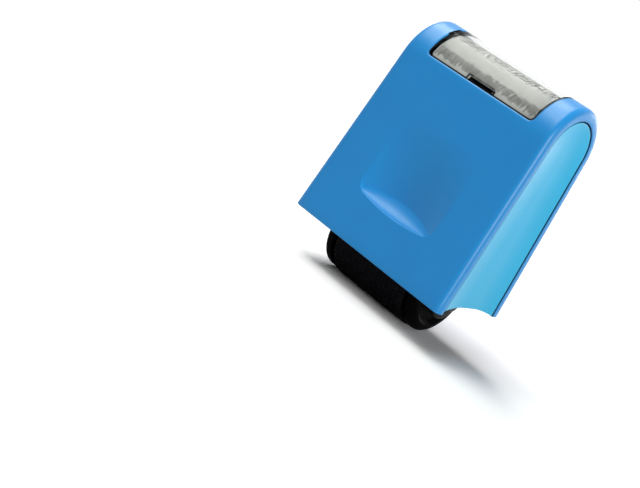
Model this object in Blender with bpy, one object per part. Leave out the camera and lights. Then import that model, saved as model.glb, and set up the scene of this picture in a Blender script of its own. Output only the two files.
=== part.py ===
"""Privacy roller stamp: a blue hand casing over a cartridge with a printing roller.

The stamp stands upright: its roller is at the bottom, its front with the thumb
scoop faces -Y, and +X is its right end. The casing is drawn in its own frame,
whose zero is the front lower edge of the casing, and an empty lifts that frame
above the surface on which the roller stands.
"""
import math

import bmesh
import bpy
from mathutils import Vector

# Casing: a band of constant wall that runs up the front, over the top and down the back
CASE_WIDTH = 0.0600
CASE_DEPTH = 0.0357
CASE_HEIGHT = 0.0693
TOP_RADIUS = 0.0145
REAR_RISE = 0.0028
SIDE_DRAFT_SHARE = 0.030
CASE_WALL = 0.0018
EDGE_FILLET = 0.0018
FLANGE_DEPTH = 0.0036

# Thumb scoop in the front wall
SCOOP_HALF_WIDTH = 0.0148
SCOOP_DEPTH = 0.0035
SCOOP_LOW_EDGE = 0.01375
SCOOP_TOP_EDGE = 0.0410
SCOOP_SIDE_LIFT = 0.0018
SCOOP_CORNER = 0.0026
SCOOP_LEDGE = 0.0046
SCOOP_LEDGE_END = 0.0004
SCOOP_FADE_SHARE = 1.25
SCOOP_LEDGE_SHARES = (0.0, 0.33, 0.66)
SCOOP_ROW_SHARES = (0.08, 0.2, 0.35, 0.5, 0.65, 0.8, 0.9, 1.0)
FOOT_ROW_SHARES = (0.0, 0.5)

# Clearances
PART_GAP = 0.0003
SLIDE_GAP = 0.00035
RUN_GAP = 0.0001
OVERRUN = 0.0020

# Index window, its card and the seat under them
WINDOW_BORDER = 0.0095
WINDOW_DROP = 0.0110
WINDOW_CORNER = 0.0015
WINDOW_WALL = 0.0012
SEAT_WALL = 0.0016
SEAT_BITE = 0.0003
CARD_THICKNESS = 0.00035
CARD_HEADROOM = 0.00035
CARD_END_MARGIN = 0.0003
PRY_WIDTH = 0.0100
PRY_HEIGHT = 0.0016
PRY_SIDE_MARGIN = 0.0004

# Side panels: a dished plate with a tongue that runs behind the casing's flange
PANEL_SINK = 0.0002
PANEL_DISH = 0.0010
PANEL_EDGE_ROUND = 0.0003
PANEL_PLATE = 0.0016
TONGUE_THICKNESS = 0.0013
TONGUE_FOOT = 0.0007
PANEL_CORE_RADIUS = 0.0009
DISH_RING_SHARES = (1.0, 0.66, 0.36, 0.16, 0.04)
PANEL_ROW_SHARES = (0.25, 0.5, 0.75)
ARCH_FRONT_EDGE = 0.0011
ARCH_REAR_EDGE = 0.0029
ARCH_RISE = 0.0013

# Stamp roller and its axle
ROLLER_ROOM = 0.00145
AXLE_HEIGHT = 0.0014
AXLE_BACK = 0.0012
DIE_THICKNESS = 0.0017
DIE_CHAMFER = 0.0003
DRUM_WALL = 0.0016
HUB_WALL = 0.0018
RIM_DROP = 0.0004
RIM_GROOVE = 0.0012
RIM_BAND = 0.0014
RIM_ROUND = 0.0020
RIM_SHOULDER = 0.0028
RIM_WEB = 0.0011
SPIGOT_LENGTH = 0.0014
SPIGOT_WALL = 0.0015
AXLE_RADIUS = 0.0025
AXLE_OVERHANG = 0.0015
CLIP_GROOVE_DEPTH = 0.0006
CLIP_THICKNESS = 0.0007
CLIP_WALL = 0.0009
CLIP_OPENING_SHARE = 0.22

# Cartridge cheeks and the bridge between them
CHEEK_ROOM = 0.0084
CHEEK_WALL = 0.0020
CHEEK_MARGIN = 0.0005
LOBE_WALL = 0.0040
LOBE_LEAN_SHARE = 0.1
CHEEK_CORNER = 0.0030
FOOT_THICKNESS = 0.0016
FOOT_REACH = 0.0040
FOOT_SIDE_MARGIN = 0.0004
GUSSET_SIZE = 0.0030
GUSSET_WALL = 0.0012
BRIDGE_WALL = 0.0016
BRIDGE_SKIRT = 0.0026
BOSS_LENGTH = 0.0039
BOSS_DEPTH = 0.0034
BOSS_HEIGHT = 0.0042
FILL_HALF_WIDTH = 0.0080
FILL_HALF_DEPTH = 0.0022

# Screws that hold the cheeks to the bridge
SCREW_RADIUS = 0.0009
SCREW_LENGTH = 0.0050
SCREW_HEAD_RADIUS = 0.0019
SCREW_HEAD_HEIGHT = 0.0012

# Ink roller, its axle, bearing blocks and springs
INK_RADIUS = 0.0065
INK_END_MARGIN = 0.0004
FOAM_THICKNESS = 0.0024
INK_AXLE_RADIUS = 0.0020
INK_CORE_OVERHANG = 0.0006
INK_TRAVEL = 0.0015
INK_HEADROOM = 0.0013
INK_SIDE_ROOM = 0.0017
BLOCK_HALF_DEPTH = 0.0032
BLOCK_HALF_HEIGHT = 0.0038
BLOCK_FLANGE = 0.0012
BLOCK_FLANGE_LIP = 0.0012
BLOCK_OVERHANG = 0.0003
SPRING_ROOM = 0.0050
PEG_RADIUS = 0.0009
PEG_LENGTH = 0.0010
SPRING_RADIUS = 0.0016
SPRING_WIRE = 0.00045
SPRING_TURNS = 4
SPRING_POINTS_PER_TURN = 10

# Webs and guide ribs inside the casing
WEB_WALL = 0.0015
RIB_WALL = 0.0012
RIB_DEPTH = 0.0022
RIB_MARGIN = 0.0008

# Facets
ARC_STEPS = 18
FILLET_STEPS = 3
SCOOP_COLUMNS = 16
ROUND_STEPS = 40
SMALL_ROUND_STEPS = 16
CORNER_STEPS = 4
MERGE_DISTANCE = 0.000001
SMOOTH_ANGLE = math.radians(35)

# Places worked out from the sizes above
ROLLER_RADIUS = CASE_DEPTH / 2 - CASE_WALL - AXLE_BACK - ROLLER_ROOM
CASE_EDGE_Z = ROLLER_RADIUS - AXLE_HEIGHT
TOP_CENTRE = CASE_HEIGHT - TOP_RADIUS
WINDOW_HALF_WIDTH = CASE_WIDTH / 2 - WINDOW_BORDER
WINDOW_LOW_EDGE = CASE_HEIGHT - WINDOW_DROP
POCKET_DEPTH = WINDOW_WALL + CARD_HEADROOM + CARD_THICKNESS + PART_GAP
CHEEK_OUTER = CASE_WIDTH / 2 - CHEEK_ROOM
CHEEK_INNER = CHEEK_OUTER - CHEEK_WALL
CHEEK_MIDDLE = CHEEK_OUTER - CHEEK_WALL / 2
RIM_END = CHEEK_INNER - PART_GAP
RIM_START = RIM_END - RIM_BAND - RIM_ROUND
RIM_FACE_RADIUS = ROLLER_RADIUS - RIM_DROP - RIM_SHOULDER
DIE_HALF_WIDTH = RIM_START - RIM_GROOVE - PART_GAP
INK_HALF_WIDTH = DIE_HALF_WIDTH - INK_END_MARGIN
LOBE_RADIUS = AXLE_RADIUS + LOBE_WALL
CLIP_RADIUS = AXLE_RADIUS - CLIP_GROOVE_DEPTH + RUN_GAP + CLIP_WALL
FOOT_LOW = AXLE_HEIGHT + CLIP_RADIUS + PART_GAP
INK_HEIGHT = AXLE_HEIGHT + ROLLER_RADIUS + PART_GAP + INK_RADIUS
BLOCK_TOP = INK_HEIGHT + BLOCK_HALF_HEIGHT
SLOT_TOP = BLOCK_TOP + SPRING_ROOM
BRIDGE_TOP = INK_HEIGHT + INK_RADIUS + INK_TRAVEL + INK_HEADROOM + BRIDGE_WALL
BRIDGE_LOW = INK_HEIGHT - BRIDGE_SKIRT
BRIDGE_HALF_DEPTH = INK_RADIUS + INK_SIDE_ROOM + BRIDGE_WALL
CHEEK_TOP = BRIDGE_TOP + CHEEK_MARGIN
RIB_LOW = FOOT_LOW + FOOT_THICKNESS + RIB_MARGIN
SCREW_HEIGHT = BRIDGE_TOP - BRIDGE_WALL - BOSS_HEIGHT / 2
SCREW_OFFSET = BRIDGE_HALF_DEPTH - BRIDGE_WALL - BOSS_DEPTH / 2

# Finishes: colour, roughness, metallic
FINISHES = {
    "casing blue": ((0.026, 0.205, 0.515, 1.0), 0.32, 0.0),
    "panel blue": ((0.060, 0.380, 0.760, 1.0), 0.40, 0.0),
    "clear window": ((0.850, 0.880, 0.880, 1.0), 0.08, 0.0),
    "card": ((0.780, 0.770, 0.730, 1.0), 0.80, 0.0),
    "black plastic": ((0.018, 0.018, 0.020, 1.0), 0.45, 0.0),
    "rubber": ((0.022, 0.022, 0.024, 1.0), 0.75, 0.0),
    "foam": ((0.035, 0.035, 0.050, 1.0), 0.95, 0.0),
    "steel": ((0.560, 0.570, 0.580, 1.0), 0.28, 1.0),
}


def clear_scene():
    for item in list(bpy.data.objects):
        bpy.data.objects.remove(item, do_unlink=True)


def finish_material(name):
    material = bpy.data.materials.get(name)
    if material:
        return material
    colour, roughness, metallic = FINISHES[name]
    material = bpy.data.materials.new(name)
    material.use_nodes = True
    shader = material.node_tree.nodes["Principled BSDF"]
    shader.inputs["Base Color"].default_value = colour
    shader.inputs["Roughness"].default_value = roughness
    shader.inputs["Metallic"].default_value = metallic
    return material


def add_empty(name, parent=None, location=(0, 0, 0)):
    empty = bpy.data.objects.new(name, None)
    bpy.context.collection.objects.link(empty)
    empty.location = location
    empty.parent = parent
    return empty


def object_from(name, bm, finish, parent, location=(0, 0, 0)):
    bmesh.ops.remove_doubles(bm, verts=bm.verts, dist=MERGE_DISTANCE)
    bmesh.ops.recalc_face_normals(bm, faces=bm.faces)
    mesh = bpy.data.meshes.new(name)
    bm.to_mesh(mesh)
    bm.free()
    mesh.shade_smooth()
    mesh.set_sharp_from_angle(angle=SMOOTH_ANGLE)
    mesh.materials.append(finish_material(finish))
    item = bpy.data.objects.new(name, mesh)
    bpy.context.collection.objects.link(item)
    item.parent = parent
    item.location = location
    return item


def cutter_from(name, bm, parent, location=(0, 0, 0)):
    cutter = object_from(name, bm, "black plastic", parent, location)
    cutter.hide_render = True
    cutter.display_type = "WIRE"
    return cutter


def add_boolean(item, operand, operation):
    modifier = item.modifiers.new(operand.name, "BOOLEAN")
    modifier.operation = operation
    modifier.solver = "EXACT"
    modifier.object = operand


def prism(outline, low, high, axis="X"):
    """An outline of (a, b) pairs, extruded along the named axis from low to high."""
    bm = bmesh.new()
    length = high - low
    if axis == "X":
        points, step = [(low, a, b) for a, b in outline], (length, 0, 0)
    elif axis == "Y":
        points, step = [(a, low, b) for a, b in outline], (0, length, 0)
    else:
        points, step = [(a, b, low) for a, b in outline], (0, 0, length)
    face = bm.faces.new([bm.verts.new(point) for point in points])
    grown = bmesh.ops.extrude_face_region(bm, geom=[face])
    moved = [part for part in grown["geom"] if isinstance(part, bmesh.types.BMVert)]
    bmesh.ops.translate(bm, verts=moved, vec=step)
    return bm


def block(x_span, y_span, z_span):
    (y0, y1), (z0, z1) = y_span, z_span
    return prism([(y0, z0), (y1, z0), (y1, z1), (y0, z1)], *x_span)


def turned(outline, steps=ROUND_STEPS):
    """A closed outline of (x, radius) pairs, spun once about the X axis."""
    bm = bmesh.new()
    ring = [bm.verts.new((x, 0, radius)) for x, radius in outline]
    edges = [bm.edges.new((a, b)) for a, b in zip(ring, ring[1:] + ring[:1])]
    bmesh.ops.spin(bm, geom=ring + edges, cent=(0, 0, 0), axis=(1, 0, 0), angle=math.tau, steps=steps)
    return bm


def arc(centre, radius, start, end, steps):
    points = []
    for step in range(steps + 1):
        angle = start + (end - start) * step / steps
        points.append((centre[0] + radius * math.cos(angle), centre[1] + radius * math.sin(angle)))
    return points


def wall_angle():
    """The angle of the front wall above +Y, where it is tangent to the top round."""
    half = CASE_DEPTH / 2
    return math.atan2(TOP_CENTRE, half) + math.asin(TOP_RADIUS / math.hypot(half, TOP_CENTRE))


def wall_y(height, inset):
    """The front wall's y at a height, at an inset from the outside. The rear wall mirrors it."""
    angle = wall_angle()
    radius = TOP_RADIUS - inset
    tangent_y = -radius * math.sin(angle)
    tangent_z = TOP_CENTRE + radius * math.cos(angle)
    return tangent_y + (height - tangent_z) / math.tan(angle)


def top_arc(inset, steps=ARC_STEPS):
    angle = wall_angle()
    return arc((0, TOP_CENTRE), TOP_RADIUS - inset, angle + math.pi / 2, math.pi / 2 - angle, steps)


def half_width(height):
    return CASE_WIDTH / 2 - SIDE_DRAFT_SHARE * height


def scoop_share(x):
    return max(0.0, 1 - (x / SCOOP_HALF_WIDTH) ** 2)


def scoop_low(x):
    """The scoop's lower edge: a flat arch with round corners."""
    beyond = max(0.0, abs(x) - (SCOOP_HALF_WIDTH - SCOOP_CORNER)) / SCOOP_CORNER
    corner = SCOOP_CORNER * (1 - math.sqrt(max(0.0, 1 - beyond ** 2)))
    return SCOOP_LOW_EDGE + SCOOP_SIDE_LIFT * (1 - scoop_share(x)) + corner


def scoop_crease(x):
    return scoop_low(x) + SCOOP_LEDGE_END + (SCOOP_LEDGE - SCOOP_LEDGE_END) * scoop_share(x)


def front_rows():
    """The front wall's rows, each a function of x and inset that gives y and z."""
    def below(share):
        return lambda x, inset: (wall_y(share * scoop_low(x), inset), share * scoop_low(x))

    def ledge(share):
        """A row of the ledge, whose section is a quarter of an ellipse, from lip to crease."""
        turn = math.pi / 2 * share

        def place(x, inset):
            rise = (scoop_crease(x) - scoop_low(x)) * (1 - math.cos(turn))
            height = scoop_low(x) + rise
            depth = SCOOP_DEPTH * scoop_share(x) * math.sin(turn)
            lower = height - inset * math.cos(turn) * scoop_share(x)
            return wall_y(height, inset) + depth, lower
        return place

    def floor(share):
        def place(x, inset):
            height = scoop_crease(x) + share * (SCOOP_TOP_EDGE - scoop_crease(x))
            depth = SCOOP_DEPTH * scoop_share(x) * (1 - share) ** SCOOP_FADE_SHARE
            return wall_y(height, inset) + depth, height
        return place

    rows = [below(share) for share in FOOT_ROW_SHARES]
    rows += [ledge(share) for share in SCOOP_LEDGE_SHARES] + [floor(0.0)]
    return rows + [floor(share) for share in SCOOP_ROW_SHARES]


def band_stations():
    """The rows of the band, from the front lower edge over the top to the rear lower edge."""
    rows = front_rows()
    for step in range(ARC_STEPS + 1):
        rows.append(lambda x, inset, step=step: top_arc(inset)[step])
    middle = (TOP_CENTRE + REAR_RISE) / 2
    for height in (middle, REAR_RISE):
        rows.append(lambda x, inset, height=height: (-wall_y(height, inset), height))
    return rows


def band_loop(row):
    """One cross section of the band: the outer face with its round edges, then the inner face."""
    points = []

    def edge(side, lateral, inset):
        y, z = row(side * SCOOP_HALF_WIDTH, inset)
        points.append((side * (half_width(z) - lateral), y, z))

    def column(x, inset):
        points.append((x, *row(x, inset)))

    turns = [math.pi * step / SCOOP_COLUMNS for step in range(SCOOP_COLUMNS + 1)]
    columns = [SCOOP_HALF_WIDTH * math.cos(turn) for turn in turns]
    round_edge = arc((EDGE_FILLET, EDGE_FILLET), -EDGE_FILLET, 0, math.pi / 2, FILLET_STEPS)
    edge(1, 0, FLANGE_DEPTH)
    for lateral, inset in round_edge:
        edge(1, lateral, inset)
    for x in columns:
        column(x, 0)
    for lateral, inset in reversed(round_edge):
        edge(-1, lateral, inset)
    edge(-1, 0, FLANGE_DEPTH)
    edge(-1, CASE_WALL, FLANGE_DEPTH)
    edge(-1, CASE_WALL, CASE_WALL)
    for x in reversed(columns):
        column(x, CASE_WALL)
    edge(1, CASE_WALL, CASE_WALL)
    edge(1, CASE_WALL, FLANGE_DEPTH)
    return points


def skin_loops(bm, loops):
    """Closed loops of equal length, joined in order and capped at both ends."""
    rings = [[bm.verts.new(point) for point in loop] for loop in loops]
    for low, high in zip(rings, rings[1:]):
        for i in range(len(low)):
            j = (i + 1) % len(low)
            bm.faces.new((low[i], low[j], high[j], high[i]))
    bm.faces.new(rings[0])
    bm.faces.new(rings[-1])


def window_outline(margin):
    """The window seen from the front: square at the top, round at its lower corners."""
    half = WINDOW_HALF_WIDTH - margin
    low = WINDOW_LOW_EDGE + margin
    top = CASE_HEIGHT + OVERRUN
    corner = WINDOW_CORNER
    left = arc((-half + corner, low + corner), corner, math.pi, math.pi * 1.5, CORNER_STEPS)
    right = arc((half - corner, low + corner), corner, math.pi * 1.5, math.tau, CORNER_STEPS)
    return left + right + [(half, top), (-half, top)]


def shell_outline(inner, outer, start, end, steps=ARC_STEPS):
    centre = (0, TOP_CENTRE)
    return arc(centre, outer, start, end, steps) + arc(centre, inner, end, start, steps)


def make_window_cutter(casing):
    reach = CASE_DEPTH / 2 + OVERRUN
    cutter = cutter_from("window_cutter", prism(window_outline(0), -reach, reach, "Y"), casing)
    radius = TOP_RADIUS - POCKET_DEPTH
    drum = prism(arc((0, TOP_CENTRE), radius, 0, math.tau, 2 * ARC_STEPS)[:-1], -CASE_WIDTH, CASE_WIDTH)
    add_boolean(cutter, cutter_from("seat_core", drum, casing), "DIFFERENCE")
    return cutter


def make_web(side, casing):
    inset = CASE_WALL / 2
    low = CHEEK_TOP + PART_GAP
    outline = [(wall_y(low, inset), low)] + top_arc(inset) + [(-wall_y(low, inset), low)]
    centre = side * CHEEK_MIDDLE
    bm = prism(outline, centre - WEB_WALL / 2, centre + WEB_WALL / 2)
    return cutter_from(f"web_{side}", bm, casing)


def make_rib(side, face, row, casing):
    """A guide rib on the front (face -1) or rear (face 1) wall, on one side of a cheek's edge."""
    top = CHEEK_TOP + PART_GAP + WEB_WALL
    inset = CASE_WALL / 2
    reach = CASE_WALL + RIB_DEPTH
    outline = [(-face * wall_y(height, depth), height)
               for height, depth in ((RIB_LOW, inset), (top, inset), (top, reach), (RIB_LOW, reach))]
    near = CHEEK_MIDDLE + row * (CHEEK_WALL / 2 + SLIDE_GAP)
    far = near + row * RIB_WALL
    bm = prism(outline, side * near, side * far)
    return cutter_from(f"rib_{side}_{face}_{row}", bm, casing)


def pry_notch():
    """Room for a fingernail in the front edge of the window and of the card."""
    half = PRY_WIDTH / 2
    heights = (WINDOW_LOW_EDGE - OVERRUN, WINDOW_LOW_EDGE + PART_GAP + PRY_HEIGHT)
    return block((-half, half), (-CASE_DEPTH / 2 - OVERRUN, 0), heights)


def pry_slot():
    """The slot through the seat behind that notch."""
    half = PRY_WIDTH / 2 - PRY_SIDE_MARGIN
    heights = (WINDOW_LOW_EDGE + PART_GAP, WINDOW_LOW_EDGE + PRY_HEIGHT)
    return block((-half, half), (-CASE_DEPTH / 2 - OVERRUN, 0), heights)


def make_casing(casing):
    bm = bmesh.new()
    skin_loops(bm, [band_loop(row) for row in band_stations()])
    wrap = object_from("casing_wrap", bm, "casing blue", casing)
    seat_inner = TOP_RADIUS - POCKET_DEPTH - SEAT_WALL
    seat = shell_outline(seat_inner, TOP_RADIUS - CASE_WALL + SEAT_BITE, 0, math.pi)
    reach = WINDOW_HALF_WIDTH + CASE_WALL
    add_boolean(wrap, cutter_from("seat_block", prism(seat, -reach, reach), casing), "UNION")
    for side in (-1, 1):
        add_boolean(wrap, make_web(side, casing), "UNION")
        for face in (-1, 1):
            for row in (-1, 1):
                add_boolean(wrap, make_rib(side, face, row, casing), "UNION")
    add_boolean(wrap, make_window_cutter(casing), "DIFFERENCE")
    add_boolean(wrap, cutter_from("pry_slot", pry_slot(), casing), "DIFFERENCE")
    return wrap


def arch_height(y):
    """The side panel's arched lower edge."""
    span = -wall_y(0, FLANGE_DEPTH)
    share = (y + span) / (2 * span)
    straight = ARCH_FRONT_EDGE + (ARCH_REAR_EDGE - ARCH_FRONT_EDGE) * share
    return straight + ARCH_RISE * 4 * share * (1 - share)


def panel_rings():
    """The panel's section as insets from the outline and depths below the side face."""
    edge = FLANGE_DEPTH + PART_GAP
    core = TOP_RADIUS - PANEL_CORE_RADIUS
    front = CASE_WALL + PART_GAP
    back = front + TONGUE_THICKNESS
    plate = PANEL_SINK + PANEL_DISH + PANEL_PLATE
    rings = []
    for share in DISH_RING_SHARES:
        rings.append((edge + PANEL_EDGE_ROUND + share * (core - edge - PANEL_EDGE_ROUND),
                      PANEL_SINK + PANEL_DISH * (1 - (1 - share) ** 2)))
    rings += [(edge, PANEL_SINK + PANEL_EDGE_ROUND), (edge, front), (front, front), (front, back)]
    rings += [(edge + TONGUE_FOOT, back), (edge + TONGUE_FOOT, plate), (core, plate)]
    return rings


def panel_path(inset, depth, side):
    """One ring of the panel, from the front foot over the top to the rear foot."""
    def foot(face):
        y = face * -wall_y(0, inset)
        height = arch_height(y)
        return -face * wall_y(height, inset), height

    rows = [TOP_CENTRE * share for share in PANEL_ROW_SHARES]
    flat = [foot(-1)] + [(wall_y(row, inset), row) for row in rows]
    flat += top_arc(inset)
    flat += [(-wall_y(row, inset), row) for row in reversed(rows)] + [foot(1)]
    return [(side * (half_width(z) - depth), y, z) for y, z in flat]


def make_panel(name, side, casing):
    bm = bmesh.new()
    loops = [panel_path(inset, depth, side) for inset, depth in panel_rings()]
    rings = [[bm.verts.new(point) for point in loop] for loop in loops]
    for low, high in zip(rings, rings[1:]):
        for i in range(len(low) - 1):
            bm.faces.new((low[i], low[i + 1], high[i + 1], high[i]))
    last = len(rings[0]) - 1
    for ring in (rings[0], rings[-1]):
        for i in range(last // 2):
            if i + 1 == last - i - 1:
                bm.faces.new((ring[i], ring[i + 1], ring[last - i]))
            else:
                bm.faces.new((ring[i], ring[i + 1], ring[last - i - 1], ring[last - i]))
    for end in (0, last):
        bm.faces.new([ring[end] for ring in rings])
    bm.faces.new((rings[0][0], rings[0][last], rings[-1][last], rings[-1][0]))
    return object_from(name, bm, "panel blue", casing)


def make_index_window(window):
    """A clear curved cover, cut to the rounded outline, with a pry notch in its front edge."""
    low_angle = math.asin((WINDOW_LOW_EDGE - TOP_CENTRE) / TOP_RADIUS) / 2
    outline = shell_outline(TOP_RADIUS - WINDOW_WALL, TOP_RADIUS, low_angle, math.pi - low_angle)
    half = WINDOW_HALF_WIDTH - PART_GAP
    cover = object_from("index_window", prism(outline, -half, half), "clear window", window)
    reach = CASE_DEPTH / 2 + OVERRUN
    bound = cutter_from("window_bound", prism(window_outline(PART_GAP), -reach, reach, "Y"), window)
    add_boolean(cover, bound, "INTERSECT")
    add_boolean(cover, cutter_from("window_notch", pry_notch(), window), "DIFFERENCE")
    return cover


def make_index_card(casing):
    inner = TOP_RADIUS - POCKET_DEPTH + PART_GAP
    angle = math.asin((WINDOW_LOW_EDGE - TOP_CENTRE + PART_GAP + CARD_END_MARGIN) / inner)
    half = WINDOW_HALF_WIDTH - PART_GAP - CARD_END_MARGIN
    outline = shell_outline(inner, inner + CARD_THICKNESS, angle, math.pi - angle)
    card = object_from("index_card", prism(outline, -half, half), "card", casing)
    add_boolean(card, cutter_from("card_notch", pry_notch(), casing), "DIFFERENCE")
    return card


def make_stamp_drum(roller):
    outer = ROLLER_RADIUS - DIE_THICKNESS - PART_GAP
    bore = AXLE_RADIUS + RUN_GAP
    hub = bore + HUB_WALL
    web = DRUM_WALL / 2
    end = DIE_HALF_WIDTH
    hub_end = end - PART_GAP
    inner = outer - DRUM_WALL
    half = [(hub_end, bore), (hub_end, hub), (web, hub), (web, inner), (end, inner), (end, outer)]
    outline = half + [(-x, radius) for x, radius in reversed(half)]
    return object_from("stamp_drum", turned(outline), "black plastic", roller)


def make_rubber_die(roller):
    inner = ROLLER_RADIUS - DIE_THICKNESS
    edge = DIE_HALF_WIDTH - DIE_CHAMFER
    half = [(DIE_HALF_WIDTH, inner), (DIE_HALF_WIDTH, ROLLER_RADIUS - DIE_CHAMFER),
            (edge, ROLLER_RADIUS)]
    outline = half + [(-x, radius) for x, radius in reversed(half)]
    return object_from("rubber_die", turned(outline), "rubber", roller)


def make_roller_rim(name, side, roller):
    """An end cap of the roller: spigot, dark groove, band, round shoulder and dished face."""
    bore = AXLE_RADIUS + RUN_GAP
    drum_outer = ROLLER_RADIUS - DIE_THICKNESS - PART_GAP
    spigot = drum_outer - DRUM_WALL - PART_GAP
    face = DIE_HALF_WIDTH + PART_GAP
    top = ROLLER_RADIUS - RIM_DROP
    band_end = RIM_START + RIM_BAND
    outline = [(face, bore), (face, spigot - SPIGOT_WALL), (face - SPIGOT_LENGTH, spigot - SPIGOT_WALL),
               (face - SPIGOT_LENGTH, spigot), (face, spigot), (face, drum_outer), (RIM_START, drum_outer),
               (RIM_START, top), (band_end, top)]
    rise = top - RIM_FACE_RADIUS
    for step in range(1, CORNER_STEPS + 1):
        angle = math.pi / 2 * step / CORNER_STEPS
        outline.append((band_end + RIM_ROUND * math.sin(angle), top - rise * (1 - math.cos(angle))))
    hub = bore + HUB_WALL
    dish = RIM_END - RIM_WEB
    outline += [(dish, RIM_FACE_RADIUS - RIM_WEB), (dish, hub), (RIM_END, hub), (RIM_END, bore)]
    outline = [(side * x, radius) for x, radius in outline]
    return object_from(name, turned(outline), "black plastic", roller)


def make_stamp_axle(axle):
    end = CHEEK_OUTER + CLIP_THICKNESS + 2 * RUN_GAP + AXLE_OVERHANG
    near = CHEEK_OUTER + RUN_GAP
    far = near + CLIP_THICKNESS + RUN_GAP
    neck = AXLE_RADIUS - CLIP_GROOVE_DEPTH
    chamfer = CLIP_GROOVE_DEPTH / 2
    half = [(near, AXLE_RADIUS), (near, neck), (far, neck), (far, AXLE_RADIUS),
            (end - chamfer, AXLE_RADIUS), (end, AXLE_RADIUS - chamfer)]
    bm = turned([(end, 0)] + list(reversed(half)) + [(-x, radius) for x, radius in half] + [(-end, 0)],
                SMALL_ROUND_STEPS)
    return object_from("stamp_axle", bm, "steel", axle)


def make_axle_clip(name, side, axle):
    """A spring clip in the axle's groove, open towards the rear."""
    inner = AXLE_RADIUS - CLIP_GROOVE_DEPTH + RUN_GAP
    start = math.pi * CLIP_OPENING_SHARE
    end = math.tau - start
    outline = arc((0, 0), CLIP_RADIUS, start, end, SMALL_ROUND_STEPS)
    outline += arc((0, 0), inner, end, start, SMALL_ROUND_STEPS)
    low = CHEEK_OUTER + RUN_GAP + RUN_GAP / 2
    return object_from(name, prism(outline, side * low, side * (low + CLIP_THICKNESS)), "steel", axle)


def cheek_outline():
    """A cheek seen from its end: its edges follow the casing's walls, its foot is round."""
    inset = CASE_WALL + SLIDE_GAP
    centre = (AXLE_BACK, AXLE_HEIGHT)
    lean = math.pi * LOBE_LEAN_SHARE
    lobe = arc(centre, LOBE_RADIUS, math.pi + lean, math.tau - lean, SMALL_ROUND_STEPS)
    front = [(wall_y(CHEEK_TOP, inset) + CHEEK_CORNER, CHEEK_TOP),
             (wall_y(CHEEK_TOP - CHEEK_CORNER, inset), CHEEK_TOP - CHEEK_CORNER),
             (wall_y(FOOT_LOW, inset), FOOT_LOW)]
    return front + lobe + [(-y, z) for y, z in reversed(front)]


def make_cheek(name, side, cartridge):
    """A cartridge side plate with its closing foot, gussets, axle hole, block slot and screw holes."""
    cheek = object_from(name, prism(cheek_outline(), side * CHEEK_INNER, side * CHEEK_OUTER),
                        "black plastic", cartridge)
    inset = CASE_WALL + SLIDE_GAP
    foot_top = FOOT_LOW + FOOT_THICKNESS
    reach = -wall_y(foot_top, inset) - FOOT_SIDE_MARGIN
    root = CHEEK_OUTER - CHEEK_WALL / 2
    end = CHEEK_OUTER + FOOT_REACH
    foot = block((side * root, side * end), (-reach, reach), (FOOT_LOW, foot_top))
    add_boolean(cheek, cutter_from(f"{name}_foot", foot, cartridge), "UNION")
    for place in (-1, 1):
        middle = place * reach / 2
        low = foot_top - FOOT_THICKNESS / 2
        outline = [(side * root, low), (side * (CHEEK_OUTER + GUSSET_SIZE), low),
                   (side * (CHEEK_OUTER + GUSSET_SIZE), foot_top),
                   (side * CHEEK_OUTER, foot_top + GUSSET_SIZE), (side * root, foot_top + GUSSET_SIZE)]
        gusset = prism(outline, middle - GUSSET_WALL / 2, middle + GUSSET_WALL / 2, "Y")
        add_boolean(cheek, cutter_from(f"{name}_gusset_{place}", gusset, cartridge), "UNION")
    near = CHEEK_INNER - OVERRUN
    far = CHEEK_OUTER + OVERRUN
    hole = [(near, 0), (near, AXLE_RADIUS + RUN_GAP), (far, AXLE_RADIUS + RUN_GAP), (far, 0)]
    hole = turned([(side * x, radius) for x, radius in hole], SMALL_ROUND_STEPS)
    cutter = cutter_from(f"{name}_axle_hole", hole, cartridge, (0, AXLE_BACK, AXLE_HEIGHT))
    add_boolean(cheek, cutter, "DIFFERENCE")
    half = BLOCK_HALF_DEPTH + PART_GAP
    slot_low = INK_HEIGHT - BLOCK_HALF_HEIGHT - PART_GAP
    slot = block((side * near, side * far), (AXLE_BACK - half, AXLE_BACK + half), (slot_low, SLOT_TOP))
    add_boolean(cheek, cutter_from(f"{name}_slot", slot, cartridge), "DIFFERENCE")
    peg = peg_mesh(SLOT_TOP - PEG_LENGTH, SLOT_TOP + CHEEK_WALL / 2)
    peg = cutter_from(f"{name}_peg", peg, cartridge, (side * CHEEK_MIDDLE, AXLE_BACK, 0))
    add_boolean(cheek, peg, "UNION")
    for place in (-1, 1):
        hole = screw_hole(side, near, far, SCREW_RADIUS + PART_GAP)
        location = (0, AXLE_BACK + place * SCREW_OFFSET, SCREW_HEIGHT)
        hole = cutter_from(f"{name}_screw_hole_{place}", hole, cartridge, location)
        add_boolean(cheek, hole, "DIFFERENCE")
    return cheek


def peg_mesh(low, high):
    """An upright round peg, narrower than the spring that it centres."""
    outline = arc((0, 0), PEG_RADIUS, 0, math.tau, SMALL_ROUND_STEPS // 2)[:-1]
    return prism(outline, low, high, "Z")


def screw_hole(side, near, far, radius):
    outline = [(near, 0), (near, radius), (far, radius), (far, 0)]
    return turned([(side * x, r) for x, r in outline], SMALL_ROUND_STEPS)


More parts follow.
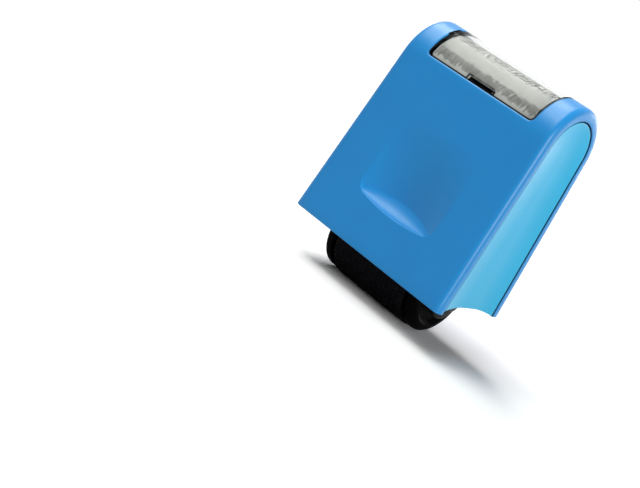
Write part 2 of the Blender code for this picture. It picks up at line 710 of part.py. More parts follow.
def make_cartridge_frame(cartridge):
    """The bridge: a trough over the ink roller, with screw bosses at its ends and a filling slot."""
    half = CHEEK_INNER - PART_GAP
    outer, wall = BRIDGE_HALF_DEPTH, BRIDGE_WALL
    under = BRIDGE_TOP - wall
    half_section = [(outer, BRIDGE_LOW), (outer, BRIDGE_TOP)]
    outline = [(AXLE_BACK + y, z) for y, z in half_section]
    outline += [(AXLE_BACK - y, z) for y, z in reversed(half_section)]
    outline += [(AXLE_BACK - outer + wall, BRIDGE_LOW), (AXLE_BACK - outer + wall, under)]
    outline += [(AXLE_BACK + outer - wall, under), (AXLE_BACK + outer - wall, BRIDGE_LOW)]
    frame = object_from("cartridge_frame", prism(outline, -half, half), "black plastic", cartridge)
    for side in (-1, 1):
        for place in (-1, 1):
            inner = AXLE_BACK + place * (outer - wall - BOSS_DEPTH)
            root = AXLE_BACK + place * (outer - wall / 2)
            boss = block((side * (half - BOSS_LENGTH), side * half), (inner, root),
                         (under - BOSS_HEIGHT, under + wall / 2))
            add_boolean(frame, cutter_from(f"boss_{side}_{place}", boss, cartridge), "UNION")
    for side in (-1, 1):
        for place in (-1, 1):
            hole = screw_hole(side, half - SCREW_LENGTH, half + OVERRUN, SCREW_RADIUS + PART_GAP)
            location = (0, AXLE_BACK + place * SCREW_OFFSET, SCREW_HEIGHT)
            add_boolean(frame, cutter_from(f"pilot_{side}_{place}", hole, cartridge, location), "DIFFERENCE")
    slot = block((-FILL_HALF_WIDTH, FILL_HALF_WIDTH),
                 (AXLE_BACK - FILL_HALF_DEPTH, AXLE_BACK + FILL_HALF_DEPTH),
                 (under - OVERRUN, BRIDGE_TOP + OVERRUN))
    add_boolean(frame, cutter_from("filling_slot", slot, cartridge), "DIFFERENCE")
    return frame


def make_screw(name, side, place, cartridge):
    """A pan head screw that goes in through a cheek."""
    seat = CHEEK_OUTER + RUN_GAP
    tip = seat - SCREW_LENGTH
    crown = seat + SCREW_HEAD_HEIGHT
    point = tip + SCREW_RADIUS
    outline = [(crown, 0), (crown, SCREW_HEAD_RADIUS / 2),
               (seat + SCREW_HEAD_HEIGHT / 2, SCREW_HEAD_RADIUS), (seat, SCREW_HEAD_RADIUS),
               (seat, SCREW_RADIUS), (point, SCREW_RADIUS), (tip, 0)]
    bm = turned([(side * x, radius) for x, radius in outline], SMALL_ROUND_STEPS)
    location = (0, AXLE_BACK + place * SCREW_OFFSET, SCREW_HEIGHT)
    return object_from(name, bm, "steel", cartridge, location)


def make_ink_roller(ink):
    bore = INK_AXLE_RADIUS + RUN_GAP
    core = INK_RADIUS - FOAM_THICKNESS - PART_GAP
    core_end = INK_HALF_WIDTH + INK_CORE_OVERHANG
    outline = [(core_end, bore), (core_end, core), (-core_end, core), (-core_end, bore)]
    object_from("ink_core", turned(outline, SMALL_ROUND_STEPS * 2), "black plastic", ink)
    inner = INK_RADIUS - FOAM_THICKNESS
    end = INK_HALF_WIDTH
    outline = [(end, inner), (end, INK_RADIUS), (-end, INK_RADIUS), (-end, inner)]
    object_from("ink_foam", turned(outline, SMALL_ROUND_STEPS * 2), "foam", ink)


def make_ink_axle(carriage):
    end = CHEEK_OUTER - RUN_GAP
    outline = [(end, 0), (end, INK_AXLE_RADIUS), (-end, INK_AXLE_RADIUS), (-end, 0)]
    return object_from("ink_axle", turned(outline, SMALL_ROUND_STEPS), "steel", carriage)


def make_ink_block(name, side, carriage):
    """A sliding bearing block: body in the cheek's slot, flange inside it, spring peg on top."""
    near = CHEEK_INNER - PART_GAP
    far = CHEEK_OUTER + BLOCK_OVERHANG
    body = block((side * near, side * far), (-BLOCK_HALF_DEPTH, BLOCK_HALF_DEPTH),
                 (-BLOCK_HALF_HEIGHT, BLOCK_HALF_HEIGHT))
    item = object_from(name, body, "black plastic", carriage)
    wide = BLOCK_HALF_DEPTH + BLOCK_FLANGE_LIP
    flange = block((side * (near - BLOCK_FLANGE), side * near), (-wide, wide),
                   (-BLOCK_HALF_HEIGHT, BLOCK_HALF_HEIGHT))
    add_boolean(item, cutter_from(f"{name}_flange", flange, carriage), "UNION")
    peg = peg_mesh(BLOCK_HALF_HEIGHT - CHEEK_WALL / 2, BLOCK_HALF_HEIGHT + PEG_LENGTH)
    add_boolean(item, cutter_from(f"{name}_peg", peg, carriage, (side * CHEEK_MIDDLE, 0, 0)), "UNION")
    hole = screw_hole(side, near - BLOCK_FLANGE - OVERRUN, far + OVERRUN, INK_AXLE_RADIUS + RUN_GAP)
    add_boolean(item, cutter_from(f"{name}_bore", hole, carriage), "DIFFERENCE")
    return item


def spring_points():
    """The centre line of a spring between a block's top and the upper end of its slot."""
    low = BLOCK_TOP + PART_GAP + SPRING_WIRE / 2
    high = SLOT_TOP - PART_GAP - SPRING_WIRE / 2
    count = SPRING_TURNS * SPRING_POINTS_PER_TURN
    points = []
    for step in range(count + 1):
        angle = math.tau * step / SPRING_POINTS_PER_TURN
        height = low + (high - low) * step / count
        points.append(Vector((SPRING_RADIUS * math.cos(angle), SPRING_RADIUS * math.sin(angle), height)))
    return points


def least_coil_gap(points):
    """The least distance between two turns of the wire, surface to surface."""
    apart = SPRING_POINTS_PER_TURN // 2
    gaps = [(a - b).length for i, a in enumerate(points) for b in points[i + apart:]]
    return min(gaps) - SPRING_WIRE


def make_spring(name, side, cartridge):
    points = spring_points()
    curve = bpy.data.curves.new(name, "CURVE")
    curve.dimensions = "3D"
    curve.bevel_depth = SPRING_WIRE / 2
    curve.bevel_resolution = 1
    curve.use_fill_caps = True
    spline = curve.splines.new("POLY")
    spline.points.add(len(points) - 1)
    for slot, point in zip(spline.points, points):
        slot.co = (*point, 1)
    curve.materials.append(finish_material("steel"))
    item = bpy.data.objects.new(name, curve)
    bpy.context.collection.objects.link(item)
    item.parent = cartridge
    item.location = (side * CHEEK_MIDDLE, AXLE_BACK, 0)
    return item


def main():
    clear_scene()
    casing = add_empty("casing_frame", None, (0, 0, CASE_EDGE_Z))
    window = add_empty("window_frame", casing)
    cartridge = add_empty("cartridge_slide_frame", casing)
    roller = add_empty("stamp_roller_frame", cartridge, (0, AXLE_BACK, AXLE_HEIGHT))
    axle = add_empty("stamp_axle_frame", cartridge, (0, AXLE_BACK, AXLE_HEIGHT))
    carriage = add_empty("ink_carriage_frame", cartridge, (0, AXLE_BACK, INK_HEIGHT))
    ink = add_empty("ink_roller_frame", carriage)
    sides = (("left", -1), ("right", 1))

    make_casing(casing)
    make_index_card(casing)
    make_index_window(window)
    make_cartridge_frame(cartridge)
    make_stamp_drum(roller)
    make_rubber_die(roller)
    make_stamp_axle(axle)
    make_ink_roller(ink)
    make_ink_axle(carriage)
    for word, side in sides:
        make_panel(f"side_panel_{word}", side, casing)
        make_cheek(f"cartridge_cheek_{word}", side, cartridge)
        make_roller_rim(f"roller_rim_{word}", side, roller)
        make_axle_clip(f"axle_clip_{word}", side, axle)
        make_ink_block(f"ink_block_{word}", side, carriage)
        make_spring(f"ink_spring_{word}", side, cartridge)
        make_screw(f"cheek_screw_{word}_front", side, -1, cartridge)
        make_screw(f"cheek_screw_{word}_rear", side, 1, cartridge)
    print(f"Least gap between the spring's turns: {least_coil_gap(spring_points()) * 1000:.2f} mm")


main()
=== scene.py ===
"""Looks of the privacy roller stamp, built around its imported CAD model.

Everything is in metres in the CAD's frame. The stamp stands upright on its
roller, its front with the thumb scoop faces -Y, and +X is its right end.
Heights on the casing are measured from its front lower edge.
"""
import math

import bmesh
import bpy
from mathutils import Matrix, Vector, noise


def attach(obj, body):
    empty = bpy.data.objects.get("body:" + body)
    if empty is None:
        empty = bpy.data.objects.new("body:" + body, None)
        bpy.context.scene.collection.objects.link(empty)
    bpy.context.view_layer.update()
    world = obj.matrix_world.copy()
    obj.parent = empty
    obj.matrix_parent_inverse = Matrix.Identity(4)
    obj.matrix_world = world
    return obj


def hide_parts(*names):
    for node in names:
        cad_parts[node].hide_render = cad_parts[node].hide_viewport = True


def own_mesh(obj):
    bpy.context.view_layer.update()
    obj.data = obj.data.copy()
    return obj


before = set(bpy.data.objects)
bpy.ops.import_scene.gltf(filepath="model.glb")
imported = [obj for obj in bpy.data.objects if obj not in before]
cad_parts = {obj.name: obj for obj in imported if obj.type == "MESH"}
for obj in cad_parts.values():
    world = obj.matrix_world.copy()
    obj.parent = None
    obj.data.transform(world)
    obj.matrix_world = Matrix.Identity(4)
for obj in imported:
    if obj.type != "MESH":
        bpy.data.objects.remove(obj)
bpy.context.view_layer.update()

# Camera of the photograph, which is 640 by 488 pixels
CAMERA_PLACE = (0.20322, -0.36058, 0.08829)
CAMERA_TURN = (76.7023, -31.1505, 39.4069)
CAMERA_LENS = 79.097
CAMERA_SENSOR = 36.0

# Lamps: the direction that each shines from, its strength, how wide it looks, and its tint
LAMPS = {
    "top left lamp": ((-0.43, -0.25, 0.87), 1.60, 34.0, (1.0, 1.0, 0.93)),
    "top front lamp": ((-0.18, -0.54, 0.82), 1.00, 34.0, (1.0, 1.0, 0.93)),
    "key lamp": ((0.96, -0.26, 0.08), 3.00, 26.0, (1.0, 0.99, 0.91)),
    "back lamp": ((-0.53, 0.24, 0.81), 1.25, 22.0, (1.0, 0.99, 0.96)),
    "rim lamp": ((0.14, 0.98, 0.14), 1.00, 30.0, (1.0, 0.99, 0.98)),
}
AMBIENT_LIGHT = 0.04
AMBIENT_TINT = (0.90, 0.96, 1.0)
FLOOR_SHADE = 0.30
FLOOR_WHITE = (1.10, 1.10, 1.15)
FLOOR_HALF_SIZE = 3.0

# Casing: a band of constant wall that runs up the front, over the top and down the back
CASE_WIDTH = 0.0600
CASE_DEPTH = 0.0357
CASE_HEIGHT = 0.0693
TOP_RADIUS = 0.0145
REAR_RISE = 0.0028
SIDE_DRAFT_SHARE = 0.030
CASE_WALL = 0.0018
EDGE_FILLET = 0.0018
FLANGE_DEPTH = 0.0036
FLANGE_ROUND = 0.00025
FOOT_ROUND = 0.0003

# Thumb scoop
SCOOP_HALF_WIDTH = 0.0148
SCOOP_DEPTH = 0.0035
SCOOP_LOW_EDGE = 0.01375
SCOOP_TOP_EDGE = 0.0410
SCOOP_SIDE_LIFT = 0.0018
SCOOP_CORNER = 0.0026
SCOOP_LEDGE = 0.0046
SCOOP_LEDGE_END = 0.0004
SCOOP_STRAIGHT_SHARE = 0.45
SCOOP_FADE_SHARE = 1.25
SCOOP_LIP_ROUND = 0.0004
SCOOP_CREASE_SHARE = 0.06
SCOOP_SIDE_ROUND_SHARE = 0.06

# Index window, its opening, the seat under it and its card
PART_GAP = 0.0003
WINDOW_HALF_WIDTH = 0.0205
WINDOW_DROP = 0.0110
WINDOW_CORNER = 0.0015
WINDOW_WALL = 0.0012
WINDOW_EDGE_ROUND = 0.00010
POCKET_DEPTH = 0.0022
SEAT_WALL = 0.0016
OPENING_LIP = 0.00055
# Share of the opening lip's depth above which it keeps its colour; deeper, painted shade darkens it
LIP_LIT_SHARE = 0.30
OPENING_FRAME = 0.0016
CARD_THICKNESS = 0.00035
CARD_END_MARGIN = 0.0003
PRY_HALF_WIDTH = 0.0050
PRY_HEIGHT = 0.0016
PRY_CORNER = 0.0004
END_SLOT_REACH = (0.0098, 0.0040)
END_SLOT_WIDTH = 0.0005
PRY_SIDE_MARGIN = 0.0004

# Side panels
PANEL_SINK = 0.0002
PANEL_DISH = 0.0010
PANEL_EDGE_ROUND = 0.0003
PANEL_PLATE = 0.0016
PANEL_CORE_RADIUS = 0.0009
TONGUE_THICKNESS = 0.0013
TONGUE_FOOT = 0.0007
ARCH_FRONT_EDGE = 0.0011
ARCH_REAR_EDGE = 0.0029
ARCH_RISE = 0.0013

# Roller, its end caps and the ink roller
ROLLER_RADIUS = 0.0134
AXLE_HEIGHT = 0.0014
AXLE_BACK = 0.0012
AXLE_RADIUS = 0.0025
DIE_HALF_WIDTH = 0.0144
DIE_THICKNESS = 0.0017
DRUM_WALL = 0.0016
HUB_WALL = 0.0018
RELIEF = 0.00032
RELIEF_MARGIN = 0.0006
RIM_DROP = 0.0004
RIM_GROOVE = 0.0012
RIM_BAND = 0.0014
RIM_ROUND = 0.0020
RIM_SHOULDER = 0.0028
RIM_WEB = 0.0011
SPIGOT_LENGTH = 0.0014
SPIGOT_WALL = 0.0015
RUN_GAP = 0.0001

AXLE_OVERHANG = 0.0015
CLIP_GROOVE_DEPTH = 0.0006
CLIP_THICKNESS = 0.0007
INK_RADIUS = 0.0065
INK_HALF_WIDTH = 0.0140
INK_AXLE_RADIUS = 0.0020
INK_CORE_OVERHANG = 0.0006
FOAM_THICKNESS = 0.0024
FOAM_EDGE_ROUND = 0.0005
PORE_SPACING = 0.00085
PORE_DEPTH = 0.0004
BLOCK_HALF_HEIGHT = 0.0038
SPRING_ROOM = 0.0050
SPRING_RADIUS = 0.0016
SPRING_WIRE = 0.00045
SPRING_TURNS = 5.4
SPRING_END_SHARE = 0.17

# Screws that hold the cheeks to the bridge
SCREW_RADIUS = 0.0009
SCREW_LENGTH = 0.0050
SCREW_HEAD_RADIUS = 0.0019
SCREW_HEAD_HEIGHT = 0.0012
SCREW_HEIGHT = 0.0288
SCREW_OFFSET = 0.0065
RECESS_LENGTH = 0.0020
RECESS_WIDTH = 0.0005
RECESS_DEPTH = 0.0007

# Webs and guide ribs inside the casing, and the cheeks that they guide
CHEEK_ROOM = 0.0084
CHEEK_WALL = 0.0020
CHEEK_TOP = 0.0330
SLIDE_GAP = 0.00035
WEB_WALL = 0.0015
RIB_WALL = 0.0012
RIB_DEPTH = 0.0022
RIB_LOW = 0.0070

# Places worked out from the sizes above
CASE_EDGE_Z = ROLLER_RADIUS - AXLE_HEIGHT
TOP_CENTRE = CASE_HEIGHT - TOP_RADIUS
WINDOW_LOW_EDGE = CASE_HEIGHT - WINDOW_DROP
CHEEK_OUTER = CASE_WIDTH / 2 - CHEEK_ROOM
CHEEK_MIDDLE = CHEEK_OUTER - CHEEK_WALL / 2
RIM_START = DIE_HALF_WIDTH + RIM_GROOVE + PART_GAP
RIM_END = RIM_START + RIM_BAND + RIM_ROUND
WINDOW_REACH = TOP_RADIUS * (math.pi / 2 - math.asin((WINDOW_LOW_EDGE - TOP_CENTRE) / TOP_RADIUS))
AXLE_PLACE = (0, AXLE_BACK, CASE_EDGE_Z + AXLE_HEIGHT)
INK_PLACE = (0, AXLE_BACK, AXLE_PLACE[2] + ROLLER_RADIUS + PART_GAP + INK_RADIUS)
BLOCK_TOP = INK_PLACE[2] + BLOCK_HALF_HEIGHT
SPRING_LOW = BLOCK_TOP + PART_GAP + SPRING_WIRE / 2
SPRING_HIGH = BLOCK_TOP + SPRING_ROOM - PART_GAP - SPRING_WIRE / 2

# Share of a plastic's colour that is left where shade is painted into a seam
SEAM_SHADE_SHARE = 0.12

# Facets
TURN_STEPS = 96
FILLET_STEPS = 8
SMALL_STEPS = 4
ARC_STEP = math.radians(2.5)
MERGE_DISTANCE = 0.000001
SMOOTH_ANGLE = math.radians(32)


# Materials

class Finish:
    """A material in the making: its Principled shader and what varies over the surface."""

    def __init__(self, name, colour, roughness, metallic=0.0, shine=0.5):
        self.material = bpy.data.materials.new(name)
        self.material.use_nodes = True
        self.tree = self.material.node_tree
        self.shader = self.tree.nodes["Principled BSDF"]
        self.shader.inputs["Base Color"].default_value = (*colour, 1)
        self.shader.inputs["Roughness"].default_value = roughness
        self.shader.inputs["Metallic"].default_value = metallic
        self.shader.inputs["Specular IOR Level"].default_value = shine
        self.place = self.add("ShaderNodeTexCoord").outputs["Object"]

    def add(self, kind, **settings):
        node = self.tree.nodes.new(kind)
        for key, value in settings.items():
            setattr(node, key, value)
        return node

    def link(self, source, target):
        self.tree.links.new(source, target)

    def noise(self, scale, detail=3.0, stretch=(1, 1, 1)):
        """Noise with about scale features to the metre, stretched along the axes."""
        mapping = self.add("ShaderNodeMapping")
        mapping.inputs["Scale"].default_value = stretch
        self.link(self.place, mapping.inputs["Vector"])
        texture = self.add("ShaderNodeTexNoise")
        texture.inputs["Scale"].default_value = scale
        texture.inputs["Detail"].default_value = detail
        self.link(mapping.outputs["Vector"], texture.inputs["Vector"])
        return texture.outputs["Fac"]

    def spread(self, source, low, high, start=0.3, end=0.7):
        node = self.add("ShaderNodeMapRange")
        for name, value in (("From Min", start), ("From Max", end), ("To Min", low), ("To Max", high)):
            node.inputs[name].default_value = value
        self.link(source, node.inputs["Value"])
        return node.outputs["Result"]

    def vary_colour(self, source, one, other):
        """The colour runs from one to the other with the source, and painted shade darkens it in seams and gaps."""
        blend = self.mix(self.spread(source, 0.0, 1.0), one, other)
        # Painted shade: a mesh attribute marks the seams and gaps whose colour is darkened.
        painted_shade = self.add("ShaderNodeAttribute", attribute_name="painted_shade").outputs["Fac"]
        shade = self.mix(painted_shade, blend, [part * SEAM_SHADE_SHARE for part in one])
        self.link(shade, self.shader.inputs["Base Color"])

    def mix(self, factor, one, other):
        node = self.add("ShaderNodeMix", data_type="RGBA")
        colours = [slot for slot in node.inputs if slot.type == "RGBA"]
        for slot, value in zip(colours, (one, other)):
            if isinstance(value, bpy.types.NodeSocket):
                self.link(value, slot)
            else:
                slot.default_value = (*value, 1)
        self.link(factor, node.inputs["Factor"])
        return [slot for slot in node.outputs if slot.type == "RGBA"][0]

    def vary_roughness(self, source, low, high):
        self.link(self.spread(source, low, high), self.shader.inputs["Roughness"])

    def bump(self, source, distance, strength=1.0):
        node = self.add("ShaderNodeBump")
        node.inputs["Distance"].default_value = distance
        node.inputs["Strength"].default_value = strength
        self.link(source, node.inputs["Height"])
        self.link(node.outputs["Normal"], self.shader.inputs["Normal"])


def blue_plastic(name, colour, roughness):
    finish = Finish(name, colour, roughness, shine=0.34)
    finish.vary_colour(finish.noise(90), [part * 0.98 for part in colour], [part * 1.02 for part in colour])
    finish.vary_roughness(finish.noise(700), roughness - 0.03, roughness + 0.04)
    finish.bump(finish.noise(5200, 2.0), 0.000004)
    return finish.material


def black_plastic(name, shade, roughness, shine=0.05):
    finish = Finish(name, (shade, shade, shade * 1.08), roughness, shine=shine)
    finish.vary_colour(finish.noise(140), (shade * 0.8,) * 3, (shade * 1.25,) * 3)
    finish.vary_roughness(finish.noise(900), roughness - 0.05, roughness + 0.06)
    finish.bump(finish.noise(4200, 2.0), 0.000006)
    return finish.material


def die_rubber():
    finish = Finish("inked rubber", (0.002, 0.002, 0.003), 0.62, shine=0.05)
    finish.vary_colour(finish.noise(420), (0.001, 0.001, 0.002), (0.003, 0.003, 0.004))
    finish.vary_roughness(finish.noise(1500), 0.48, 0.78)
    finish.bump(finish.noise(3600), 0.00002)
    return finish.material


def ink_foam_finish():
    finish = Finish("ink foam", (0.012, 0.012, 0.020), 0.9, shine=0.25)
    finish.vary_colour(finish.noise(1800), (0.004, 0.004, 0.008), (0.030, 0.030, 0.042))
    finish.bump(finish.noise(2600, 4.0), 0.0002)
    return finish.material


def turned_steel(name, colour, roughness):
    finish = Finish(name, colour, roughness, metallic=1.0)
    grain = finish.noise(500, 2.0, (30, 1, 1))
    finish.vary_roughness(grain, roughness - 0.07, roughness + 0.10)
    finish.bump(grain, 0.000003)
    return finish.material


def clear_plastic():
    """Clear polystyrene. Lamps shine through it onto the card below."""
    clear, dark = (0.97, 0.985, 0.985), (0.02, 0.03, 0.035)
    finish = Finish("clear window", clear, 0.02, shine=0.15)
    # Painted shade: the window's edge faces turn near black where the shade attribute is set, for the dark line round
    # the window.
    edge = finish.add("ShaderNodeAttribute", attribute_name="painted_shade").outputs["Fac"]
    finish.link(finish.mix(edge, clear, dark), finish.shader.inputs["Base Color"])
    finish.shader.inputs["Transmission Weight"].default_value = 1.0
    finish.shader.inputs["IOR"].default_value = 1.07
    finish.vary_roughness(finish.noise(260), 0.01, 0.03)
    passing = finish.add("ShaderNodeBsdfTransparent")
    rays = finish.add("ShaderNodeLightPath")
    through = finish.add("ShaderNodeMath", operation="MAXIMUM")
    finish.link(rays.outputs["Is Shadow Ray"], through.inputs[0])
    finish.link(rays.outputs["Is Diffuse Ray"], through.inputs[1])
    mix = finish.add("ShaderNodeMixShader")
    finish.link(through.outputs[0], mix.inputs["Fac"])
    finish.link(finish.shader.outputs["BSDF"], mix.inputs[1])
    finish.link(passing.outputs["BSDF"], mix.inputs[2])
    finish.link(mix.outputs["Shader"], finish.tree.nodes["Material Output"].inputs["Surface"])
    return finish.material


def card_stock():
    finish = Finish("card stock", (0.42, 0.43, 0.42), 0.75, shine=0.3)
    finish.vary_colour(finish.noise(300, 4.0), (0.43, 0.44, 0.435), (0.49, 0.50, 0.495))
    finish.bump(finish.noise(3000), 0.00001)
    return finish.material


def card_ink(name, shade):
    finish = Finish(name, (shade, shade, shade * 0.96), 0.7, shine=0.3)
    finish.vary_colour(finish.noise(1200), (shade * 0.75,) * 3, (min(1.0, shade * 1.3),) * 3)
    return finish.material


# Meshes

def object_from(name, bm, material, smooth=SMOOTH_ANGLE):
    mesh = bpy.data.meshes.new(name)
    bm.to_mesh(mesh)
    bm.free()
    mesh.shade_smooth()
    mesh.set_sharp_from_angle(angle=smooth)
    if material:
        mesh.materials.append(material)
    item = bpy.data.objects.new(name, mesh)
    bpy.context.scene.collection.objects.link(item)
    return item


def baked(item):
    """The object with its modifiers turned into plain mesh."""
    bpy.context.view_layer.update()
    depsgraph = bpy.context.evaluated_depsgraph_get()
    mesh = bpy.data.meshes.new_from_object(item.evaluated_get(depsgraph), depsgraph=depsgraph)
    item.modifiers.clear()
    old = item.data
    item.data = mesh
    mesh.name = item.name
    bpy.data.meshes.remove(old)
    return item


def weighted(item):
    item.modifiers.new("weighted normals", "WEIGHTED_NORMAL").keep_sharp = True
    return baked(item)


def facing_out(bm):
    """The closed shape with all its faces turned outwards."""
    bmesh.ops.recalc_face_normals(bm, faces=bm.faces)
    if bm.calc_volume(signed=True) < 0:
        bmesh.ops.reverse_faces(bm, faces=bm.faces)
    return bm


def shifted(bm, offset):
    bmesh.ops.translate(bm, verts=bm.verts, vec=offset)
    return bm


def arc(centre, radius, start, end, steps):
    points = []
    for step in range(steps + 1):
        angle = start + (end - start) * step / steps
        points.append((centre[0] + radius * math.cos(angle), centre[1] + radius * math.sin(angle)))
    return points


def prism(outline, low, high):
    """An outline of (y, z) pairs, extruded along X."""
    bm = bmesh.new()
    face = bm.faces.new([bm.verts.new((low, y, z)) for y, z in outline])
    grown = bmesh.ops.extrude_face_region(bm, geom=[face])
    moved = [part for part in grown["geom"] if isinstance(part, bmesh.types.BMVert)]
    bmesh.ops.translate(bm, verts=moved, vec=(high - low, 0, 0))
    return facing_out(bm)


def turned(outline, steps=TURN_STEPS):
    """A closed outline of (x, radius) pairs, spun once about the X axis."""
    bm = bmesh.new()
    ring = [bm.verts.new((x, 0, radius)) for x, radius in outline]
    edges = [bm.edges.new((a, b)) for a, b in zip(ring, ring[1:] + ring[:1])]
    bmesh.ops.spin(bm, geom=ring + edges, cent=(0, 0, 0), axis=(1, 0, 0), angle=math.tau, steps=steps)
    bmesh.ops.remove_doubles(bm, verts=bm.verts, dist=MERGE_DISTANCE)
    bmesh.ops.delete(bm, geom=[edge for edge in bm.edges if not edge.link_faces], context="EDGES")
    return facing_out(bm)


def eased(outline, radius, steps=SMALL_STEPS):
    """The outline with each corner rounded, where the two edges beside it leave room."""
    points = []
    count = len(outline)
    for i, corner in enumerate(outline):
        corner = Vector(corner)
        before = Vector(outline[i - 1]) - corner
        after = Vector(outline[(i + 1) % count]) - corner
        cut = min(radius, before.length * 0.45, after.length * 0.45)
        start = corner + before.normalized() * cut
        end = corner + after.normalized() * cut
        for step in range(steps + 1):
            t = step / steps
            point = start * (1 - t) ** 2 + corner * 2 * t * (1 - t) + end * t * t
            points.append((point.x, point.y))
    return points


def soft_max(a, b, width):
    closeness = max(width - abs(a - b), 0.0) / width
    return max(a, b) + closeness * closeness * width / 4


def soft_min(a, b, width):
    return -soft_max(-a, -b, width)


# The casing's shape

def wall_angle():
    half = CASE_DEPTH / 2
    return math.atan2(TOP_CENTRE, half) + math.asin(TOP_RADIUS / math.hypot(half, TOP_CENTRE))


WALL_ANGLE = wall_angle()


def wall_y(height, inset):
    """The front wall's y at a height, at an inset from the outside. The rear wall mirrors it."""
    radius = TOP_RADIUS - inset
    tangent_y = -radius * math.sin(WALL_ANGLE)
    tangent_z = TOP_CENTRE + radius * math.cos(WALL_ANGLE)
    return tangent_y + (height - tangent_z) / math.tan(WALL_ANGLE)


def over_top(reach, inset):
    """A point over the rounded top. Reach is the length from the crest, positive to the front."""
    angle = math.pi / 2 + reach / TOP_RADIUS
    radius = TOP_RADIUS - inset
    return radius * math.cos(angle), TOP_CENTRE + radius * math.sin(angle)


def half_width(height):
    return CASE_WIDTH / 2 - SIDE_DRAFT_SHARE * height


def scoop_share(x):
    return max(0.0, 1 - (x / SCOOP_HALF_WIDTH) ** 2)


def scoop_low(x):
    """The scoop's lower edge: a flat arch with round corners."""
    beyond = max(0.0, abs(x) - (SCOOP_HALF_WIDTH - SCOOP_CORNER)) / SCOOP_CORNER
    corner = SCOOP_CORNER * (1 - math.sqrt(max(0.0, 1 - beyond ** 2)))
    return SCOOP_LOW_EDGE + SCOOP_SIDE_LIFT * (1 - scoop_share(x)) + corner


def scoop_crease(x):
    return scoop_low(x) + SCOOP_LEDGE_END + (SCOOP_LEDGE - SCOOP_LEDGE_END) * scoop_share(x)


def scoop_deepest(x):
    return SCOOP_DEPTH * soft_max(0.0, 1 - (x / SCOOP_HALF_WIDTH) ** 2, SCOOP_SIDE_ROUND_SHARE)


def scoop_lip(x):
    return min(SCOOP_LIP_ROUND, scoop_deepest(x) / 2)


class Row:
    """One row of the casing's band, from the front foot over the top to the rear foot."""

    def __init__(self, place, seat=False, ease=0.0, reach=None):
        self.place = place
        self.seat = seat
        self.ease = ease
        self.reach = reach


def front_row(height_of, depth_of=None, drop_share=0.0, **settings):
    """A row of the front wall. In the ledge, its inner side drops below the outer one."""
    def place(x, inset):
        height = height_of(x)
        depth = depth_of(x) if depth_of else 0.0
        return wall_y(height, inset) + depth, height - inset * drop_share * scoop_share(x)
    return Row(place, **settings)


def lip_row(turn):
    """A row of the round edge between the front wall and the scoop's ledge."""
    return front_row(lambda x: scoop_low(x) - scoop_lip(x) * (1 - math.sin(turn)),
                     lambda x: scoop_lip(x) * (1 - math.cos(turn)), drop_share=math.sin(turn))


def ledge_row(turn):
    """A row of the ledge, from lip to crease. Its section lies between a chamfer and a quarter ellipse."""
    straight = SCOOP_STRAIGHT_SHARE * turn / (math.pi / 2)
    rise = straight + (1 - SCOOP_STRAIGHT_SHARE) * (1 - math.cos(turn))
    run = straight + (1 - SCOOP_STRAIGHT_SHARE) * math.sin(turn)
    return front_row(lambda x: scoop_low(x) + (scoop_crease(x) - scoop_low(x)) * rise,
                     lambda x: scoop_lip(x) + (scoop_deepest(x) - scoop_lip(x)) * run,
                     drop_share=math.cos(turn))


def floor_row(rise):
    """A row of the scoop's floor, at a share of the way from the crease to the fading top."""
    share = rise * rise * (1 + SCOOP_CREASE_SHARE) / (rise + SCOOP_CREASE_SHARE)
    return front_row(lambda x: scoop_crease(x) + rise * (SCOOP_TOP_EDGE - scoop_crease(x)),
                     lambda x: scoop_deepest(x) * max(0.0, 1 - share) ** SCOOP_FADE_SHARE)


def rear_row(height, **settings):
    return Row(lambda x, inset: (-wall_y(height, inset), height), **settings)


def top_row(reach):
    return Row(lambda x, inset: over_top(reach, inset), seat=True, reach=reach)


def foot_steps():
    """The rounding of the casing's lower edge, as heights above it and insets."""
    steps = []
    for step in range(SMALL_STEPS + 1):
        angle = math.pi / 2 * step / SMALL_STEPS
        steps.append((FOOT_ROUND * (1 - math.cos(angle)), FOOT_ROUND * (1 - math.sin(angle))))
    return steps


def evenly(start, end, count):
    return [start + (end - start) * step / count for step in range(count + 1)]


def front_rows():
    rows = [front_row(lambda x, rise=rise: rise, ease=ease) for rise, ease in foot_steps()]
    for share in (0.2, 0.4, 0.6, 0.8, 0.93):
        rows.append(front_row(lambda x, share=share: share * (scoop_low(x) - SCOOP_LIP_ROUND)))
    rows += [lip_row(turn) for turn in evenly(0.0, math.pi / 2, 6)]
    rows += [ledge_row(turn) for turn in evenly(0.0, math.pi / 2, 18)[1:]]
    rows += [floor_row(rise) for rise in [0.008, 0.018, 0.03, 0.045] + evenly(0.065, 1.0, 26)]
    for height in (0.0420, 0.0440, 0.0475, 0.0510, TOP_CENTRE - SEAT_STEP):
        rows.append(front_row(lambda x, height=height: height))
    rows.append(front_row(lambda x: TOP_CENTRE, seat=True))
    return rows


def top_rows():
    """Rows over the round top, with some at the ends of the window's opening."""
    start = TOP_RADIUS * (WALL_ANGLE - 0.0)
    frame_end = WINDOW_REACH + OPENING_FRAME
    corner_end = WINDOW_REACH - WINDOW_CORNER
    inner = max(2, round(2 * corner_end / TOP_RADIUS / ARC_STEP))
    reaches = evenly(start, frame_end, 2)[:-1] + evenly(frame_end, corner_end, 6)[:-1]
    reaches += evenly(corner_end, -corner_end, inner)
    reaches += evenly(-corner_end, -frame_end, 6)[1:] + evenly(-frame_end, -start, 2)[1:]
    return [top_row(reach) for reach in reaches]


def rear_rows():
    rows = [rear_row(TOP_CENTRE, seat=True), rear_row(TOP_CENTRE - SEAT_STEP)]
    rows += [rear_row(height) for height in (0.0450, 0.0360, 0.0270, 0.0180, 0.0090)]
    rows += [rear_row(REAR_RISE + rise, ease=ease) for rise, ease in reversed(foot_steps())]
    return rows


SEAT_STEP = 0.00002


